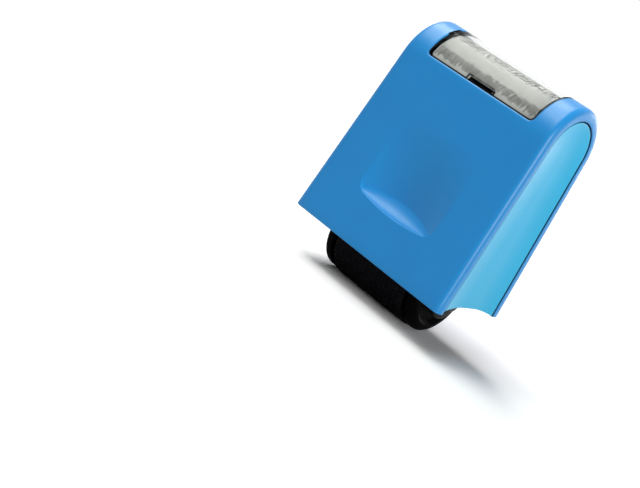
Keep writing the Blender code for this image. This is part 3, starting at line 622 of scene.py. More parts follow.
def skin_columns():
    """Places across the casing, dense at the scoop's sides and the window's corners."""
    outer = WINDOW_HALF_WIDTH + OPENING_FRAME
    corner = WINDOW_HALF_WIDTH - WINDOW_CORNER
    side = SCOOP_HALF_WIDTH
    half = evenly(outer, corner, 6)[:-1] + evenly(corner, side + 0.0009, 3)[:-1]
    half += evenly(side + 0.0009, side - SCOOP_CORNER, 12)[:-1] + evenly(side - SCOOP_CORNER, 0.0, 13)
    return half + [-x for x in reversed(half[:-1])]


def band_loop(row, columns, inner_columns):
    """A cross section of the band: the outer skin with round edges, then the inner wall."""
    points = []
    painted_shades = []

    def edge(side, lateral, inset, ease=0.0):
        y, z = row.place(side * SCOOP_HALF_WIDTH * 1.2, inset + ease)
        points.append((side * (half_width(z) - lateral - ease), y, z))
        # Painted shade: the flange's end round darkens towards the seam beside the side panel.
        painted_shades.append(max(0.0, min(1.0, (inset - FLANGE_DEPTH + FLANGE_ROUND) / FLANGE_ROUND)))

    def column(x, inset):
        points.append((x, *row.place(x, inset)))
        painted_shades.append(0.0)

    def flat(side, share):
        y, z = row.place(side * SCOOP_HALF_WIDTH * 1.2, row.ease)
        near = half_width(z) - EDGE_FILLET - row.ease
        points.append((side * (near + share * (columns[0] - near)), y, z))
        painted_shades.append(0.0)

    lip = FLANGE_ROUND
    end = [(lip, FLANGE_DEPTH), (lip * 0.3, FLANGE_DEPTH - lip * 0.3), (0.0, FLANGE_DEPTH - lip)]
    sides = end + [(0.0, (EDGE_FILLET + FLANGE_DEPTH) / 2)]
    sides += arc((EDGE_FILLET, EDGE_FILLET), -EDGE_FILLET, 0, math.pi / 2, FILLET_STEPS)
    for lateral, inset in sides:
        edge(1, lateral, inset, row.ease)
    flat(1, 0.5)
    for x in columns:
        column(x, row.ease)
    flat(-1, 0.5)
    for lateral, inset in reversed(sides):
        edge(-1, lateral, inset, row.ease)
    edge(-1, CASE_WALL, FLANGE_DEPTH)
    edge(-1, CASE_WALL, CASE_WALL)
    for x in reversed(inner_columns):
        seat = row.seat and abs(x) <= SEAT_HALF_WIDTH
        column(x, POCKET_DEPTH + SEAT_WALL if seat else CASE_WALL)
    edge(1, CASE_WALL, CASE_WALL)
    edge(1, CASE_WALL, FLANGE_DEPTH)
    return points, painted_shades, len(sides) + 1


SEAT_HALF_WIDTH = WINDOW_HALF_WIDTH + CASE_WALL


def inner_wall_columns():
    seat = SEAT_HALF_WIDTH
    half = [seat + SEAT_STEP, seat] + evenly(seat - 0.002, 0.0, 16)
    return half + [-x for x in reversed(half[:-1])]


def opening_point(x, reach, grow):
    """The point of the window's opening, grown by so much, that lies nearest to a place."""
    half_x = WINDOW_HALF_WIDTH - WINDOW_CORNER
    half_reach = WINDOW_REACH - WINDOW_CORNER
    core = Vector((max(-half_x, min(half_x, x)), max(-half_reach, min(half_reach, reach))))
    away = (Vector((x, reach)) - core).normalized()
    return core + away * (WINDOW_CORNER + grow)


def opening_profile():
    """The opening's edge as growths and depths: skin, round lip, wall and pocket."""
    profile = [(OPENING_FRAME * 0.55, 0.0), (OPENING_LIP, 0.0)]
    for step in range(1, SMALL_STEPS + 2):
        angle = math.pi / 2 * step / (SMALL_STEPS + 1)
        profile.append((OPENING_LIP * (1 - math.sin(angle)), OPENING_LIP * (1 - math.cos(angle))))
    return profile + [(0.0, POCKET_DEPTH)]


def fill_opening(bm, rim, places, side_count):
    """Joins the hole in the skin to the round lip, and to the wall and floor of the pocket, which are painted near
    black as shade.
    """
    ring = rim
    count = len(rim)
    layer = bm.verts.layers.float["painted_shade"]
    for grow, depth in opening_profile():
        inner = []
        for x, reach in places:
            point = opening_point(x, reach, grow)
            inner.append(bm.verts.new((point.x, *over_top(point.y, depth))))
            # Painted shade: the lip darkens from part way down its round into the pocket.
            inner[-1][layer] = max(0.0, min(1.0, (depth / OPENING_LIP - LIP_LIT_SHARE) / LIP_LIT_SHARE))
        for i in range(count):
            j = (i + 1) % count
            face = bm.faces.new((ring[i], ring[j], inner[j], inner[i]))
            # The pocket's wall and floor take the near-black painted shade.
            face.material_index = int(depth == POCKET_DEPTH)
        ring = inner
    across, along = side_count
    left = ring[across:across + along + 1]
    right = [ring[0]] + list(reversed(ring[2 * across + along:]))
    floor = [bm.faces.new((left[i], left[i + 1], right[i + 1], right[i])) for i in range(1, along - 1)]
    floor.append(bm.faces.new(ring[:across + 2] + [ring[-1]]))
    floor.append(bm.faces.new(ring[across + along - 1:2 * across + along + 2]))
    for face in floor:
        face.material_index = 1


def casing_band():
    """The whole band as one closed shell, with the window's pocket in its outer skin."""
    rows = front_rows() + top_rows() + rear_rows()
    columns = skin_columns()
    inner_columns = inner_wall_columns()
    bm = bmesh.new()
    layer = bm.verts.layers.float.new("painted_shade")
    grid = []
    for row in rows:
        points, painted_shades, first = band_loop(row, columns, inner_columns)
        grid.append([bm.verts.new(point) for point in points])
        for vert, painted_shade in zip(grid[-1], painted_shades):
            vert[layer] = painted_shade
    last = first + len(columns) - 1
    edge = WINDOW_REACH + OPENING_FRAME
    inside = [i for i, row in enumerate(rows) if row.reach is not None and abs(row.reach) <= edge + RUN_GAP]
    top, bottom = inside[0], inside[-1]
    for i in range(len(rows) - 1):
        low, high = grid[i], grid[i + 1]
        for j in range(len(low)):
            if top <= i < bottom and first <= j < last:
                continue
            k = (j + 1) % len(low)
            bm.faces.new((low[j], low[k], high[k], high[j]))
    bm.faces.new(grid[0])
    bm.faces.new(grid[-1])
    route = [(top, j) for j in range(first, last)] + [(i, last) for i in range(top, bottom)]
    route += [(bottom, j) for j in range(last, first, -1)] + [(i, first) for i in range(bottom, top, -1)]
    rim = [grid[i][j] for i, j in route]
    places = [(columns[j - first], rows[i].reach) for i, j in route]
    fill_opening(bm, rim, places, (last - first, bottom - top))
    bmesh.ops.remove_doubles(bm, verts=bm.verts, dist=MERGE_DISTANCE)
    bmesh.ops.recalc_face_normals(bm, faces=bm.faces)
    return shifted(bm, (0, 0, CASE_EDGE_Z))


def web_and_ribs(side):
    """One web across the casing, and the guide ribs beside a cheek, on one side."""
    parts = []
    inset = CASE_WALL / 2
    low = CHEEK_TOP + PART_GAP
    reaches = evenly(TOP_RADIUS * WALL_ANGLE, -TOP_RADIUS * WALL_ANGLE, 36)
    top = [over_top(reach, POCKET_DEPTH + SEAT_WALL / 2) for reach in reaches]
    front = [(wall_y(height, inset), height) for height in (low, TOP_CENTRE)]
    outline = front + top + [(-y, height) for y, height in reversed(front)]
    centre = side * CHEEK_MIDDLE
    parts.append(prism(outline, centre - WEB_WALL / 2, centre + WEB_WALL / 2))
    rib_top = low + WEB_WALL
    reach = CASE_WALL + RIB_DEPTH
    for face in (-1, 1):
        for row in (-1, 1):
            outline = [(-face * wall_y(height, depth), height) for height, depth in
                       ((RIB_LOW, inset), (rib_top, inset), (rib_top, reach), (RIB_LOW, reach))]
            near = CHEEK_MIDDLE + row * (CHEEK_WALL / 2 + SLIDE_GAP)
            parts.append(prism(outline, side * near, side * (near + row * RIB_WALL)))
    return [shifted(bm, (0, 0, CASE_EDGE_Z)) for bm in parts]


def pry_slot():
    """The slot through the seat behind the window's notch."""
    half = PRY_HALF_WIDTH - PRY_SIDE_MARGIN
    low, high = WINDOW_LOW_EDGE + PART_GAP, WINDOW_LOW_EDGE + PRY_HEIGHT
    bm = prism([(-CASE_DEPTH / 2, low), (0, low), (0, high), (-CASE_DEPTH / 2, high)], -half, half)
    # The slot's walls take the pocket's near-black painted shade.
    for face in bm.faces:
        face.material_index = 1
    return shifted(bm, (0, 0, CASE_EDGE_Z))


def end_slot():
    """The small slot beside the window's left end, whose walls are painted near black as shade."""
    high, low = END_SLOT_REACH
    outline = [over_top(reach, -PART_GAP) for reach in evenly(high, low, SMALL_STEPS)]
    outline += [over_top(reach, POCKET_DEPTH - PART_GAP) for reach in evenly(low, high, SMALL_STEPS)]
    bm = prism(outline, -WINDOW_HALF_WIDTH - END_SLOT_WIDTH, PART_GAP - WINDOW_HALF_WIDTH)
    for face in bm.faces:
        face.material_index = 1
    return shifted(bm, (0, 0, CASE_EDGE_Z))


def make_casing(material, pocket_shade_material):
    casing = object_from("casing_shell", casing_band(), material)
    helpers = [object_from("slot front", pry_slot(), material), object_from("slot end", end_slot(), material)]
    for item in [casing] + helpers:
        item.data.materials.append(pocket_shade_material)
    for side in (-1, 1):
        for i, bm in enumerate(web_and_ribs(side)):
            bmesh.ops.recalc_face_normals(bm, faces=bm.faces)
            helpers.append(object_from(f"rib_{side}_{i}", bm, material))
    for helper in helpers:
        modifier = casing.modifiers.new(helper.name, "BOOLEAN")
        modifier.operation = "DIFFERENCE" if helper.name.startswith("slot") else "UNION"
        modifier.solver = "EXACT"
        modifier.object = helper
    baked(casing)
    for helper in helpers:
        bpy.data.objects.remove(helper, do_unlink=True)
    casing.data.set_sharp_from_angle(angle=SMOOTH_ANGLE)
    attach(casing, "casing")
    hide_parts("casing_wrap")
    return casing


# Side panels

def arch_height(y):
    span = -wall_y(0, FLANGE_DEPTH)
    share = (y + span) / (2 * span)
    straight = ARCH_FRONT_EDGE + (ARCH_REAR_EDGE - ARCH_FRONT_EDGE) * share
    return straight + ARCH_RISE * 4 * share * (1 - share)


def panel_rings():
    """The panel's section: insets from the outline, depths, how round its foot is, and how much painted shade its seam
    edge takes.
    """
    edge = FLANGE_DEPTH + PART_GAP
    core = TOP_RADIUS - PANEL_CORE_RADIUS
    front = CASE_WALL + PART_GAP
    back = front + TONGUE_THICKNESS
    plate = PANEL_SINK + PANEL_DISH + PANEL_PLATE
    lip = PANEL_EDGE_ROUND
    rings = []
    for share in evenly(1.0, 0.0, 16):
        inset = edge + lip + share * (core - edge - lip)
        rings.append((inset, PANEL_SINK + PANEL_DISH * (1 - (1 - share) ** 2), lip, 0.0))
    # The round edge and the edge walls take painted shade, darkest at the seam.
    for step in range(1, SMALL_STEPS + 1):
        angle = math.pi / 2 * step / SMALL_STEPS
        inset = edge + lip * (1 - math.sin(angle))
        rings.append((inset, PANEL_SINK + lip * (1 - math.cos(angle)), lip, step / SMALL_STEPS))
    rings += [(edge, front, 0.0, 1.0), (front, front, 0.0, 1.0), (front, back, 0.0, 0.0)]
    rings += [(edge + TONGUE_FOOT, back, 0.0, 0.0), (edge + TONGUE_FOOT, plate, 0.0, 0.0)]
    return rings + [(core, plate, 0.0, 0.0)]


def panel_path(inset, depth, lip, side):
    """One ring of the panel, from the front foot over the top to the rear foot."""
    def foot(face):
        height = arch_height(face * -wall_y(0, inset))
        steps = []
        for step in range(SMALL_STEPS + 1):
            angle = math.pi / 2 * step / SMALL_STEPS
            rise = lip * (1 - math.sin(math.pi / 2 - angle))
            steps.append((-face * wall_y(height + rise, inset), height + rise, lip * (1 - math.sin(angle))))
        return steps

    rows = evenly(0.0050, TOP_CENTRE - 0.0010, 14)
    points = foot(-1) + [(wall_y(row, inset), row, 0.0) for row in rows]
    span = TOP_RADIUS * WALL_ANGLE
    points += [(*over_top(reach, inset), 0.0) for reach in evenly(span, -span, 64)]
    points += [(-wall_y(row, inset), row, 0.0) for row in reversed(rows)] + list(reversed(foot(1)))
    return [(side * (half_width(z) - depth - ease), y, z) for y, z, ease in points]


def make_panel(name, side, material):
    bm = bmesh.new()
    layer = bm.verts.layers.float.new("painted_shade")
    rings = []
    for inset, depth, lip, painted_shade in panel_rings():
        rings.append([bm.verts.new(point) for point in panel_path(inset, depth, lip, side)])
        for vert in rings[-1]:
            vert[layer] = painted_shade
    for low, high in zip(rings, rings[1:]):
        for i in range(len(low) - 1):
            bm.faces.new((low[i], low[i + 1], high[i + 1], high[i]))
    last = len(rings[0]) - 1
    for ring in (rings[0], rings[-1]):
        for i in range(last // 2):
            corners = [ring[i], ring[i + 1], ring[last - i - 1], ring[last - i]]
            bm.faces.new(list(dict.fromkeys(corners)))
    for end in (0, last):
        bm.faces.new([ring[end] for ring in rings])
    bm.faces.new((rings[0][0], rings[0][last], rings[-1][last], rings[-1][0]))
    bmesh.ops.remove_doubles(bm, verts=bm.verts, dist=MERGE_DISTANCE)
    bmesh.ops.recalc_face_normals(bm, faces=bm.faces)
    panel = weighted(object_from(name + "_shell", shifted(bm, (0, 0, CASE_EDGE_Z)), material))
    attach(panel, "casing")
    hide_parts(name)
    return panel


# Window and card, drawn flat and then wrapped over the top

def rounded_outline(corners):
    """Corners as (x, y, radius), in order, each replaced by an arc."""
    points = []
    count = len(corners)
    for i, (x, y, radius) in enumerate(corners):
        corner = Vector((x, y))
        before = (Vector(corners[i - 1][:2]) - corner).normalized()
        after = (Vector(corners[(i + 1) % count][:2]) - corner).normalized()
        centre = corner + (before + after) * radius
        for step in range(2 * SMALL_STEPS + 1):
            turn = math.pi / 2 * step / (2 * SMALL_STEPS)
            away = -after * math.cos(turn) - before * math.sin(turn)
            points.append(centre + away * radius)
    return points


def drawn_in(points, distance):
    """A closed outline, moved inwards by a small distance."""
    moved = []
    count = len(points)
    for i, point in enumerate(points):
        along = (points[(i + 1) % count] - points[i - 1]).normalized()
        moved.append(point + Vector((-along.y, along.x)) * distance)
    return moved


def wrapped_plate(outline, outer_inset, thickness, edge_round, edge_painted_shade=0.0):
    """A thin plate with round edges, drawn flat and then bent over the casing's top."""
    profile = []
    for step in range(SMALL_STEPS + 1):
        angle = math.pi / 2 * step / SMALL_STEPS
        profile.append((edge_round * (1 - math.sin(angle)), edge_round * (1 - math.cos(angle))))
    lower = [(inset, thickness - depth) for inset, depth in reversed(profile)]
    bm = bmesh.new()
    layer = bm.verts.layers.float.new("painted_shade")
    rings = []
    for inset, depth in profile + lower:
        ring = drawn_in(outline, inset)
        rings.append([bm.verts.new((point.x, point.y, -depth)) for point in ring])
        for vert in rings[-1]:
            # The edge faces carry the painted shade amount.
            vert[layer] = edge_painted_shade if 0 < depth < thickness else 0.0
    for high, low in zip(rings, rings[1:]):
        for i in range(len(high)):
            j = (i + 1) % len(high)
            bm.faces.new((high[i], high[j], low[j], low[i]))
    bm.faces.new(rings[0])
    bm.faces.new(rings[-1])
    bmesh.ops.remove_doubles(bm, verts=bm.verts, dist=MERGE_DISTANCE)
    step = TOP_RADIUS * ARC_STEP / 2
    reach = max(point.y for point in outline)
    for i in range(-int(reach / step), int(reach / step) + 1):
        geometry = bm.verts[:] + bm.edges[:] + bm.faces[:]
        bmesh.ops.bisect_plane(bm, geom=geometry, plane_co=(0, i * step, 0), plane_no=(0, 1, 0),
                               dist=MERGE_DISTANCE)
    for vert in bm.verts:
        vert.co = (vert.co.x, *over_top(vert.co.y, outer_inset - vert.co.z))
    return shifted(facing_out(bm), (0, 0, CASE_EDGE_Z))


def notched_corners(half, reach):
    """The outline of the window or card, with the notch for a fingernail in its front edge."""
    pry, notch = PRY_HALF_WIDTH, WINDOW_REACH - PART_GAP - PRY_HEIGHT
    corner, small = WINDOW_CORNER - PART_GAP, PRY_CORNER
    return [(-half, -reach, corner), (half, -reach, corner), (half, reach, corner),
            (pry, reach, small), (pry, notch, small), (-pry, notch, small), (-pry, reach, small),
            (-half, reach, corner)]


def make_window(material):
    corners = notched_corners(WINDOW_HALF_WIDTH - PART_GAP, WINDOW_REACH - PART_GAP)
    # The window's edges take painted shade.
    bm = wrapped_plate(rounded_outline(corners), 0.0, WINDOW_WALL, WINDOW_EDGE_ROUND, edge_painted_shade=1.0)
    window = weighted(object_from("window_cover", bm, material))
    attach(window, "window")
    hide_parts("index_window")
    return window


def make_card(material):
    half = WINDOW_HALF_WIDTH - PART_GAP - CARD_END_MARGIN
    reach = WINDOW_REACH - PART_GAP - CARD_END_MARGIN
    inset = POCKET_DEPTH - PART_GAP - CARD_THICKNESS
    bm = wrapped_plate(rounded_outline(notched_corners(half, reach)), inset, CARD_THICKNESS, RUN_GAP)
    card = object_from("card_sheet", bm, material)
    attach(card, "casing")
    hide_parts("index_card")
    return card


# Geometry Nodes for what repeats

class NodeTree:
    """A geometry tree in the making, with named inputs."""

    def __init__(self, name):
        self.tree = bpy.data.node_groups.new(name, "GeometryNodeTree")
        self.tree.interface.new_socket("Geometry", in_out="INPUT", socket_type="NodeSocketGeometry")
        self.tree.interface.new_socket("Geometry", in_out="OUTPUT", socket_type="NodeSocketGeometry")
        self.values = []
        self.start = None

    def input(self, name, value, kind="NodeSocketFloat"):
        socket = self.tree.interface.new_socket(name, in_out="INPUT", socket_type=kind)
        self.values.append((socket.identifier, value))
        return name

    def open(self):
        self.start = self.tree.nodes.new("NodeGroupInput")

    def take(self, name):
        return self.start.outputs[name]

    def add(self, kind, inputs=None, **settings):
        node = self.tree.nodes.new(kind)
        for key, value in settings.items():
            setattr(node, key, value)
        for key, value in (inputs or {}).items():
            self.feed(node.inputs[key], value)
        return node

    def feed(self, socket, value):
        if isinstance(value, bpy.types.NodeSocket):
            self.tree.links.new(value, socket)
        else:
            socket.default_value = value

    def math(self, operation, a, b=0.0):
        return self.add("ShaderNodeMath", {0: a, 1: b}, operation=operation).outputs[0]

    def random(self, low, high, seed):
        node = self.add("FunctionNodeRandomValue", {"Seed": seed}, data_type="FLOAT")
        slots = [socket for socket in node.inputs if socket.type == "VALUE" and socket.enabled]
        self.feed(slots[0], low)
        self.feed(slots[1], high)
        return [socket for socket in node.outputs if socket.enabled][0]

    def finish(self, geometry, material):
        realized = self.add("GeometryNodeRealizeInstances", {"Geometry": geometry}).outputs["Geometry"]
        painted = self.add("GeometryNodeSetMaterial", {"Geometry": realized, "Material": material})
        end = self.tree.nodes.new("NodeGroupOutput")
        self.tree.links.new(painted.outputs["Geometry"], end.inputs["Geometry"])


def grown_from(name, nodes, smooth=None, item=None):
    """An object whose mesh the tree makes or changes, turned into a plain mesh."""
    if item is None:
        item = bpy.data.objects.new(name, bpy.data.meshes.new(name))
        bpy.context.scene.collection.objects.link(item)
    modifier = item.modifiers.new(name, "NODES")
    modifier.node_group = nodes.tree
    for identifier, value in nodes.values:
        modifier[identifier] = value
    baked(item)
    if smooth:
        item.data.shade_smooth()
        item.data.set_sharp_from_angle(angle=smooth)
    return item


def bars_round_axis(name, material, sizes, smooth=None):
    """Small bars in rows round an axis along X. Each lies along the axis or across it."""
    nodes = NodeTree(name)
    for key in sizes:
        kind = "NodeSocketInt" if isinstance(sizes[key], int) else "NodeSocketFloat"
        nodes.input(key, sizes[key], kind)
    nodes.open()
    take, sums = nodes.take, nodes.math
    grid = nodes.add("GeometryNodeMeshGrid", {"Size X": 1.0, "Size Y": 1.0, "Vertices X": take("Columns"),
                                              "Vertices Y": take("Rows")})
    place = nodes.add("GeometryNodeInputPosition").outputs["Position"]
    split = nodes.add("ShaderNodeSeparateXYZ", {"Vector": place})
    shift = nodes.random(-0.5, 0.5, 1)
    along = sums("ADD", sums("MULTIPLY", split.outputs["X"], take("Width")), sums("MULTIPLY", shift, take("Jitter")))
    turn = sums("ADD", take("Start Angle"), sums("MULTIPLY", sums("ADD", split.outputs["Y"], 0.5), take("Sweep")))
    turn = sums("ADD", turn, sums("MULTIPLY", nodes.random(-0.5, 0.5, 2), take("Angle Jitter")))
    radius = take("Radius")
    back = sums("ADD", sums("MULTIPLY", sums("COSINE", turn), radius), take("Axis Y"))
    up = sums("ADD", sums("MULTIPLY", sums("SINE", turn), radius), take("Axis Z"))
    point = nodes.add("ShaderNodeCombineXYZ", {"X": along, "Y": back, "Z": up}).outputs["Vector"]
    moved = nodes.add("GeometryNodeSetPosition", {"Geometry": grid.outputs["Mesh"], "Position": point})
    after = nodes.add("ShaderNodeSeparateXYZ", {"Vector": place})
    angle = sums("ARCTAN2", sums("SUBTRACT", after.outputs["Z"], take("Axis Z")),
                 sums("SUBTRACT", after.outputs["Y"], take("Axis Y")))
    lean = nodes.add("ShaderNodeCombineXYZ", {"X": sums("SUBTRACT", angle, math.pi / 2), "Y": 0.0, "Z": 0.0})
    long = nodes.random(take("Shortest"), take("Longest"), 3)
    lengthwise = sums("LESS_THAN", nodes.random(0.0, 1.0, 4), take("Lengthwise"))
    crosswise = sums("SUBTRACT", 1.0, lengthwise)
    size_x = sums("ADD", sums("MULTIPLY", lengthwise, long), sums("MULTIPLY", crosswise, take("Bar Width")))
    size_y = sums("ADD", sums("MULTIPLY", crosswise, long), sums("MULTIPLY", lengthwise, take("Bar Width")))
    size = nodes.add("ShaderNodeCombineXYZ", {"X": size_x, "Y": size_y, "Z": take("Bar Height")})
    kept = sums("LESS_THAN", nodes.random(0.0, 1.0, 5), take("Kept"))
    bar = nodes.add("GeometryNodeMeshCube", {"Size": (1.0, 1.0, 1.0)})
    spread = nodes.add("GeometryNodeInstanceOnPoints", {
        "Points": moved.outputs["Geometry"], "Selection": kept, "Instance": bar.outputs["Mesh"],
        "Rotation": lean.outputs["Vector"], "Scale": size.outputs["Vector"]})
    nodes.finish(spread.outputs["Instances"], material)
    return grown_from(name, nodes, smooth)


def make_screws(material):
    """The four pan head screws of the cheeks: a round head with a cross recess, and a shank."""
    nodes = NodeTree("cheek screws")
    sizes = {"Head Radius": SCREW_HEAD_RADIUS, "Head Height": SCREW_HEAD_HEIGHT, "Shank Radius": SCREW_RADIUS,
             "Shank Length": SCREW_LENGTH, "Recess Length": RECESS_LENGTH, "Recess Width": RECESS_WIDTH,
             "Recess Depth": RECESS_DEPTH, "Seat": CHEEK_OUTER + RUN_GAP, "Row Offset": SCREW_OFFSET}
    for key, value in sizes.items():
        nodes.input(key, value)
    nodes.open()
    take, sums = nodes.take, nodes.math
    ball = nodes.add("GeometryNodeMeshUVSphere", {"Segments": 40, "Rings": 24, "Radius": 1.0}).outputs["Mesh"]
    split = nodes.add("ShaderNodeSeparateXYZ", {0: nodes.add("GeometryNodeInputPosition").outputs[0]})
    up = sums("MULTIPLY", sums("POWER", sums("MAXIMUM", split.outputs[2], 0.0), 0.6), take("Head Height"))
    wide = [sums("MULTIPLY", split.outputs[i], take("Head Radius")) for i in (0, 1)]
    dome = nodes.add("GeometryNodeSetPosition", {
        "Geometry": ball, "Position": nodes.add("ShaderNodeCombineXYZ", {0: wide[0], 1: wide[1], 2: up}).outputs[0]})
    bars = nodes.add("GeometryNodeJoinGeometry")
    deep = sums("MULTIPLY", take("Recess Depth"), 2.0)
    for long, short in ((0, 1), (1, 0)):
        size = nodes.add("ShaderNodeCombineXYZ", {long: take("Recess Length"), short: take("Recess Width"), 2: deep})
        bar = nodes.add("GeometryNodeMeshCube", {"Size": size.outputs[0]}).outputs["Mesh"]
        nodes.tree.links.new(bar, bars.inputs[0])
    lift = nodes.add("ShaderNodeCombineXYZ", {2: take("Head Height")}).outputs[0]
    cross = nodes.add("GeometryNodeTransform", {"Geometry": bars.outputs[0], "Translation": lift}).outputs[0]
    head = nodes.add("GeometryNodeMeshBoolean", {0: dome.outputs[0], 1: cross}, operation="DIFFERENCE", solver="EXACT")
    shank = nodes.add("GeometryNodeMeshCylinder", {"Vertices": 32, "Radius": take("Shank Radius"),
                                                   "Depth": take("Shank Length")}).outputs["Mesh"]
    drop = nodes.add("ShaderNodeCombineXYZ", {2: sums("MULTIPLY", take("Shank Length"), -0.5)}).outputs[0]
    shank = nodes.add("GeometryNodeTransform", {"Geometry": shank, "Translation": drop}).outputs[0]
    screw = nodes.add("GeometryNodeJoinGeometry")
    for part in (head.outputs["Mesh"], shank):
        nodes.tree.links.new(part, screw.inputs[0])
    places = nodes.add("GeometryNodeMeshGrid", {
        "Size X": sums("MULTIPLY", take("Seat"), 2.0), "Size Y": sums("MULTIPLY", take("Row Offset"), 2.0),
        "Vertices X": 2, "Vertices Y": 2}).outputs["Mesh"]
    side = nodes.add("ShaderNodeSeparateXYZ", {0: nodes.add("GeometryNodeInputPosition").outputs[0]}).outputs[0]
    outwards = nodes.add("ShaderNodeCombineXYZ", {0: sums("SIGN", side)}).outputs[0]
    facing = nodes.add("FunctionNodeAlignRotationToVector", {"Vector": outwards}, axis="Z").outputs[0]
    copies = nodes.add("GeometryNodeInstanceOnPoints", {
        "Points": places, "Instance": screw.outputs[0], "Rotation": facing}).outputs[0]
    middle = (0, AXLE_BACK, CASE_EDGE_Z + SCREW_HEIGHT)
    nodes.finish(nodes.add("GeometryNodeTransform", {"Geometry": copies, "Translation": middle}).outputs[0], material)
    screws = grown_from("cheek_screws", nodes, SMOOTH_ANGLE)
    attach(screws, "cartridge")
    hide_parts(*[f"cheek_screw_{side}_{row}" for side in ("left", "right") for row in ("front", "rear")])


def make_springs(material):
    """The two coil springs, with closed end turns."""
    nodes = NodeTree("ink springs")
    for key, value in (("Radius", SPRING_RADIUS), ("Wire", SPRING_WIRE), ("Turns", SPRING_TURNS),
                       ("Length", SPRING_HIGH - SPRING_LOW), ("End Share", SPRING_END_SHARE),
                       ("Apart", 2 * CHEEK_MIDDLE)):
        nodes.input(key, value)
    nodes.open()
    take, sums = nodes.take, nodes.math
    coil = nodes.add("GeometryNodeCurveSpiral", {
        "Resolution": 36, "Rotations": take("Turns"), "Start Radius": take("Radius"), "End Radius": take("Radius"),
        "Height": take("Length")}).outputs[0]
    split = nodes.add("ShaderNodeSeparateXYZ", {0: nodes.add("GeometryNodeInputPosition").outputs[0]})
    share = sums("DIVIDE", split.outputs[2], take("Length"))
    far = sums("SUBTRACT", 1.0, take("End Share"))
    open_span = sums("SUBTRACT", take("Length"), sums("MULTIPLY", take("Wire"), 2.0))

    def climb(start, end, height):
        return nodes.add("ShaderNodeMapRange", {
            "Value": share, "From Min": start, "From Max": end, "To Min": 0.0, "To Max": height}).outputs[0]

    height = sums("ADD", climb(0.0, take("End Share"), take("Wire")), climb(take("End Share"), far, open_span))
    height = sums("ADD", height, climb(far, 1.0, take("Wire")))
    point = nodes.add("ShaderNodeCombineXYZ", {0: split.outputs[0], 1: split.outputs[1], 2: height}).outputs[0]
    coil = nodes.add("GeometryNodeSetPosition", {"Geometry": coil, "Position": point}).outputs[0]
    section = nodes.add("GeometryNodeCurvePrimitiveCircle", {
        "Resolution": 14, "Radius": sums("MULTIPLY", take("Wire"), 0.5)}).outputs[0]
    wire = nodes.add("GeometryNodeCurveToMesh", {"Curve": coil, "Profile Curve": section, "Fill Caps": True})
    places = nodes.add("GeometryNodeMeshLine", {
        "Count": 2, "Offset": nodes.add("ShaderNodeCombineXYZ", {0: take("Apart")}).outputs[0]}).outputs[0]
    copies = nodes.add("GeometryNodeInstanceOnPoints", {"Points": places, "Instance": wire.outputs[0]}).outputs[0]
    middle = (-CHEEK_MIDDLE, AXLE_BACK, SPRING_LOW)
    nodes.finish(nodes.add("GeometryNodeTransform", {"Geometry": copies, "Translation": middle}).outputs[0], material)
    springs = grown_from("ink_springs", nodes, SMOOTH_ANGLE)
    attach(springs, "cartridge")
    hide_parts("ink_spring_left", "ink_spring_right")
    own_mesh(springs)


def make_foam(material):
    """The ink roller's foam sleeve, with open pores over its round side."""
    inner, end = INK_RADIUS - FOAM_THICKNESS, INK_HALF_WIDTH
    edge = FOAM_EDGE_ROUND
    half = [(end, inner)] + arc((end - edge, INK_RADIUS - edge), edge, 0.0, math.pi / 2, SMALL_STEPS)
    outline = half + [(x, INK_RADIUS) for x in evenly(end - edge, edge - end, 136)[1:-1]]
    outline += [(-x, radius) for x, radius in reversed(half)]
    sleeve = object_from("foam_sleeve", turned(outline, 200), None)
    nodes = NodeTree("foam pores")
    for key, value in (("Spacing", PORE_SPACING), ("Depth", PORE_DEPTH), ("Outer Radius", INK_RADIUS)):
        nodes.input(key, value)
    nodes.open()
    take, sums = nodes.take, nodes.math
    place = nodes.add("GeometryNodeInputPosition").outputs[0]
    cells = nodes.add("ShaderNodeTexVoronoi", {"Vector": place, "Scale": sums("DIVIDE", 1.0, take("Spacing"))})
    pit = nodes.add("ShaderNodeMapRange", {"Value": cells.outputs["Distance"], "From Min": 0.22, "From Max": 0.46,
                                           "To Min": 1.0, "To Max": 0.0}, interpolation_type="SMOOTHSTEP").outputs[0]
    split = nodes.add("ShaderNodeSeparateXYZ", {0: place})
    away = nodes.add("ShaderNodeCombineXYZ", {1: split.outputs[1], 2: split.outputs[2]}).outputs[0]
    radius = nodes.add("ShaderNodeVectorMath", {0: away}, operation="LENGTH").outputs["Value"]
    outside = sums("GREATER_THAN", radius, sums("SUBTRACT", take("Outer Radius"), RUN_GAP))
    unit = nodes.add("ShaderNodeVectorMath", {0: away}, operation="NORMALIZE").outputs[0]
    amount = sums("MULTIPLY", sums("MULTIPLY", pit, outside), sums("MULTIPLY", take("Depth"), -1.0))
    offset = nodes.add("ShaderNodeVectorMath", {0: unit, "Scale": amount}, operation="SCALE").outputs[0]
    moved = nodes.add("GeometryNodeSetPosition", {"Geometry": take("Geometry"), "Offset": offset}).outputs[0]
    nodes.finish(nodes.add("GeometryNodeTransform", {"Geometry": moved, "Translation": INK_PLACE}).outputs[0],
                 material)
    grown_from("foam_sleeve", nodes, math.radians(60), sleeve)
    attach(sleeve, "ink_roller")
    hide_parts("ink_foam")


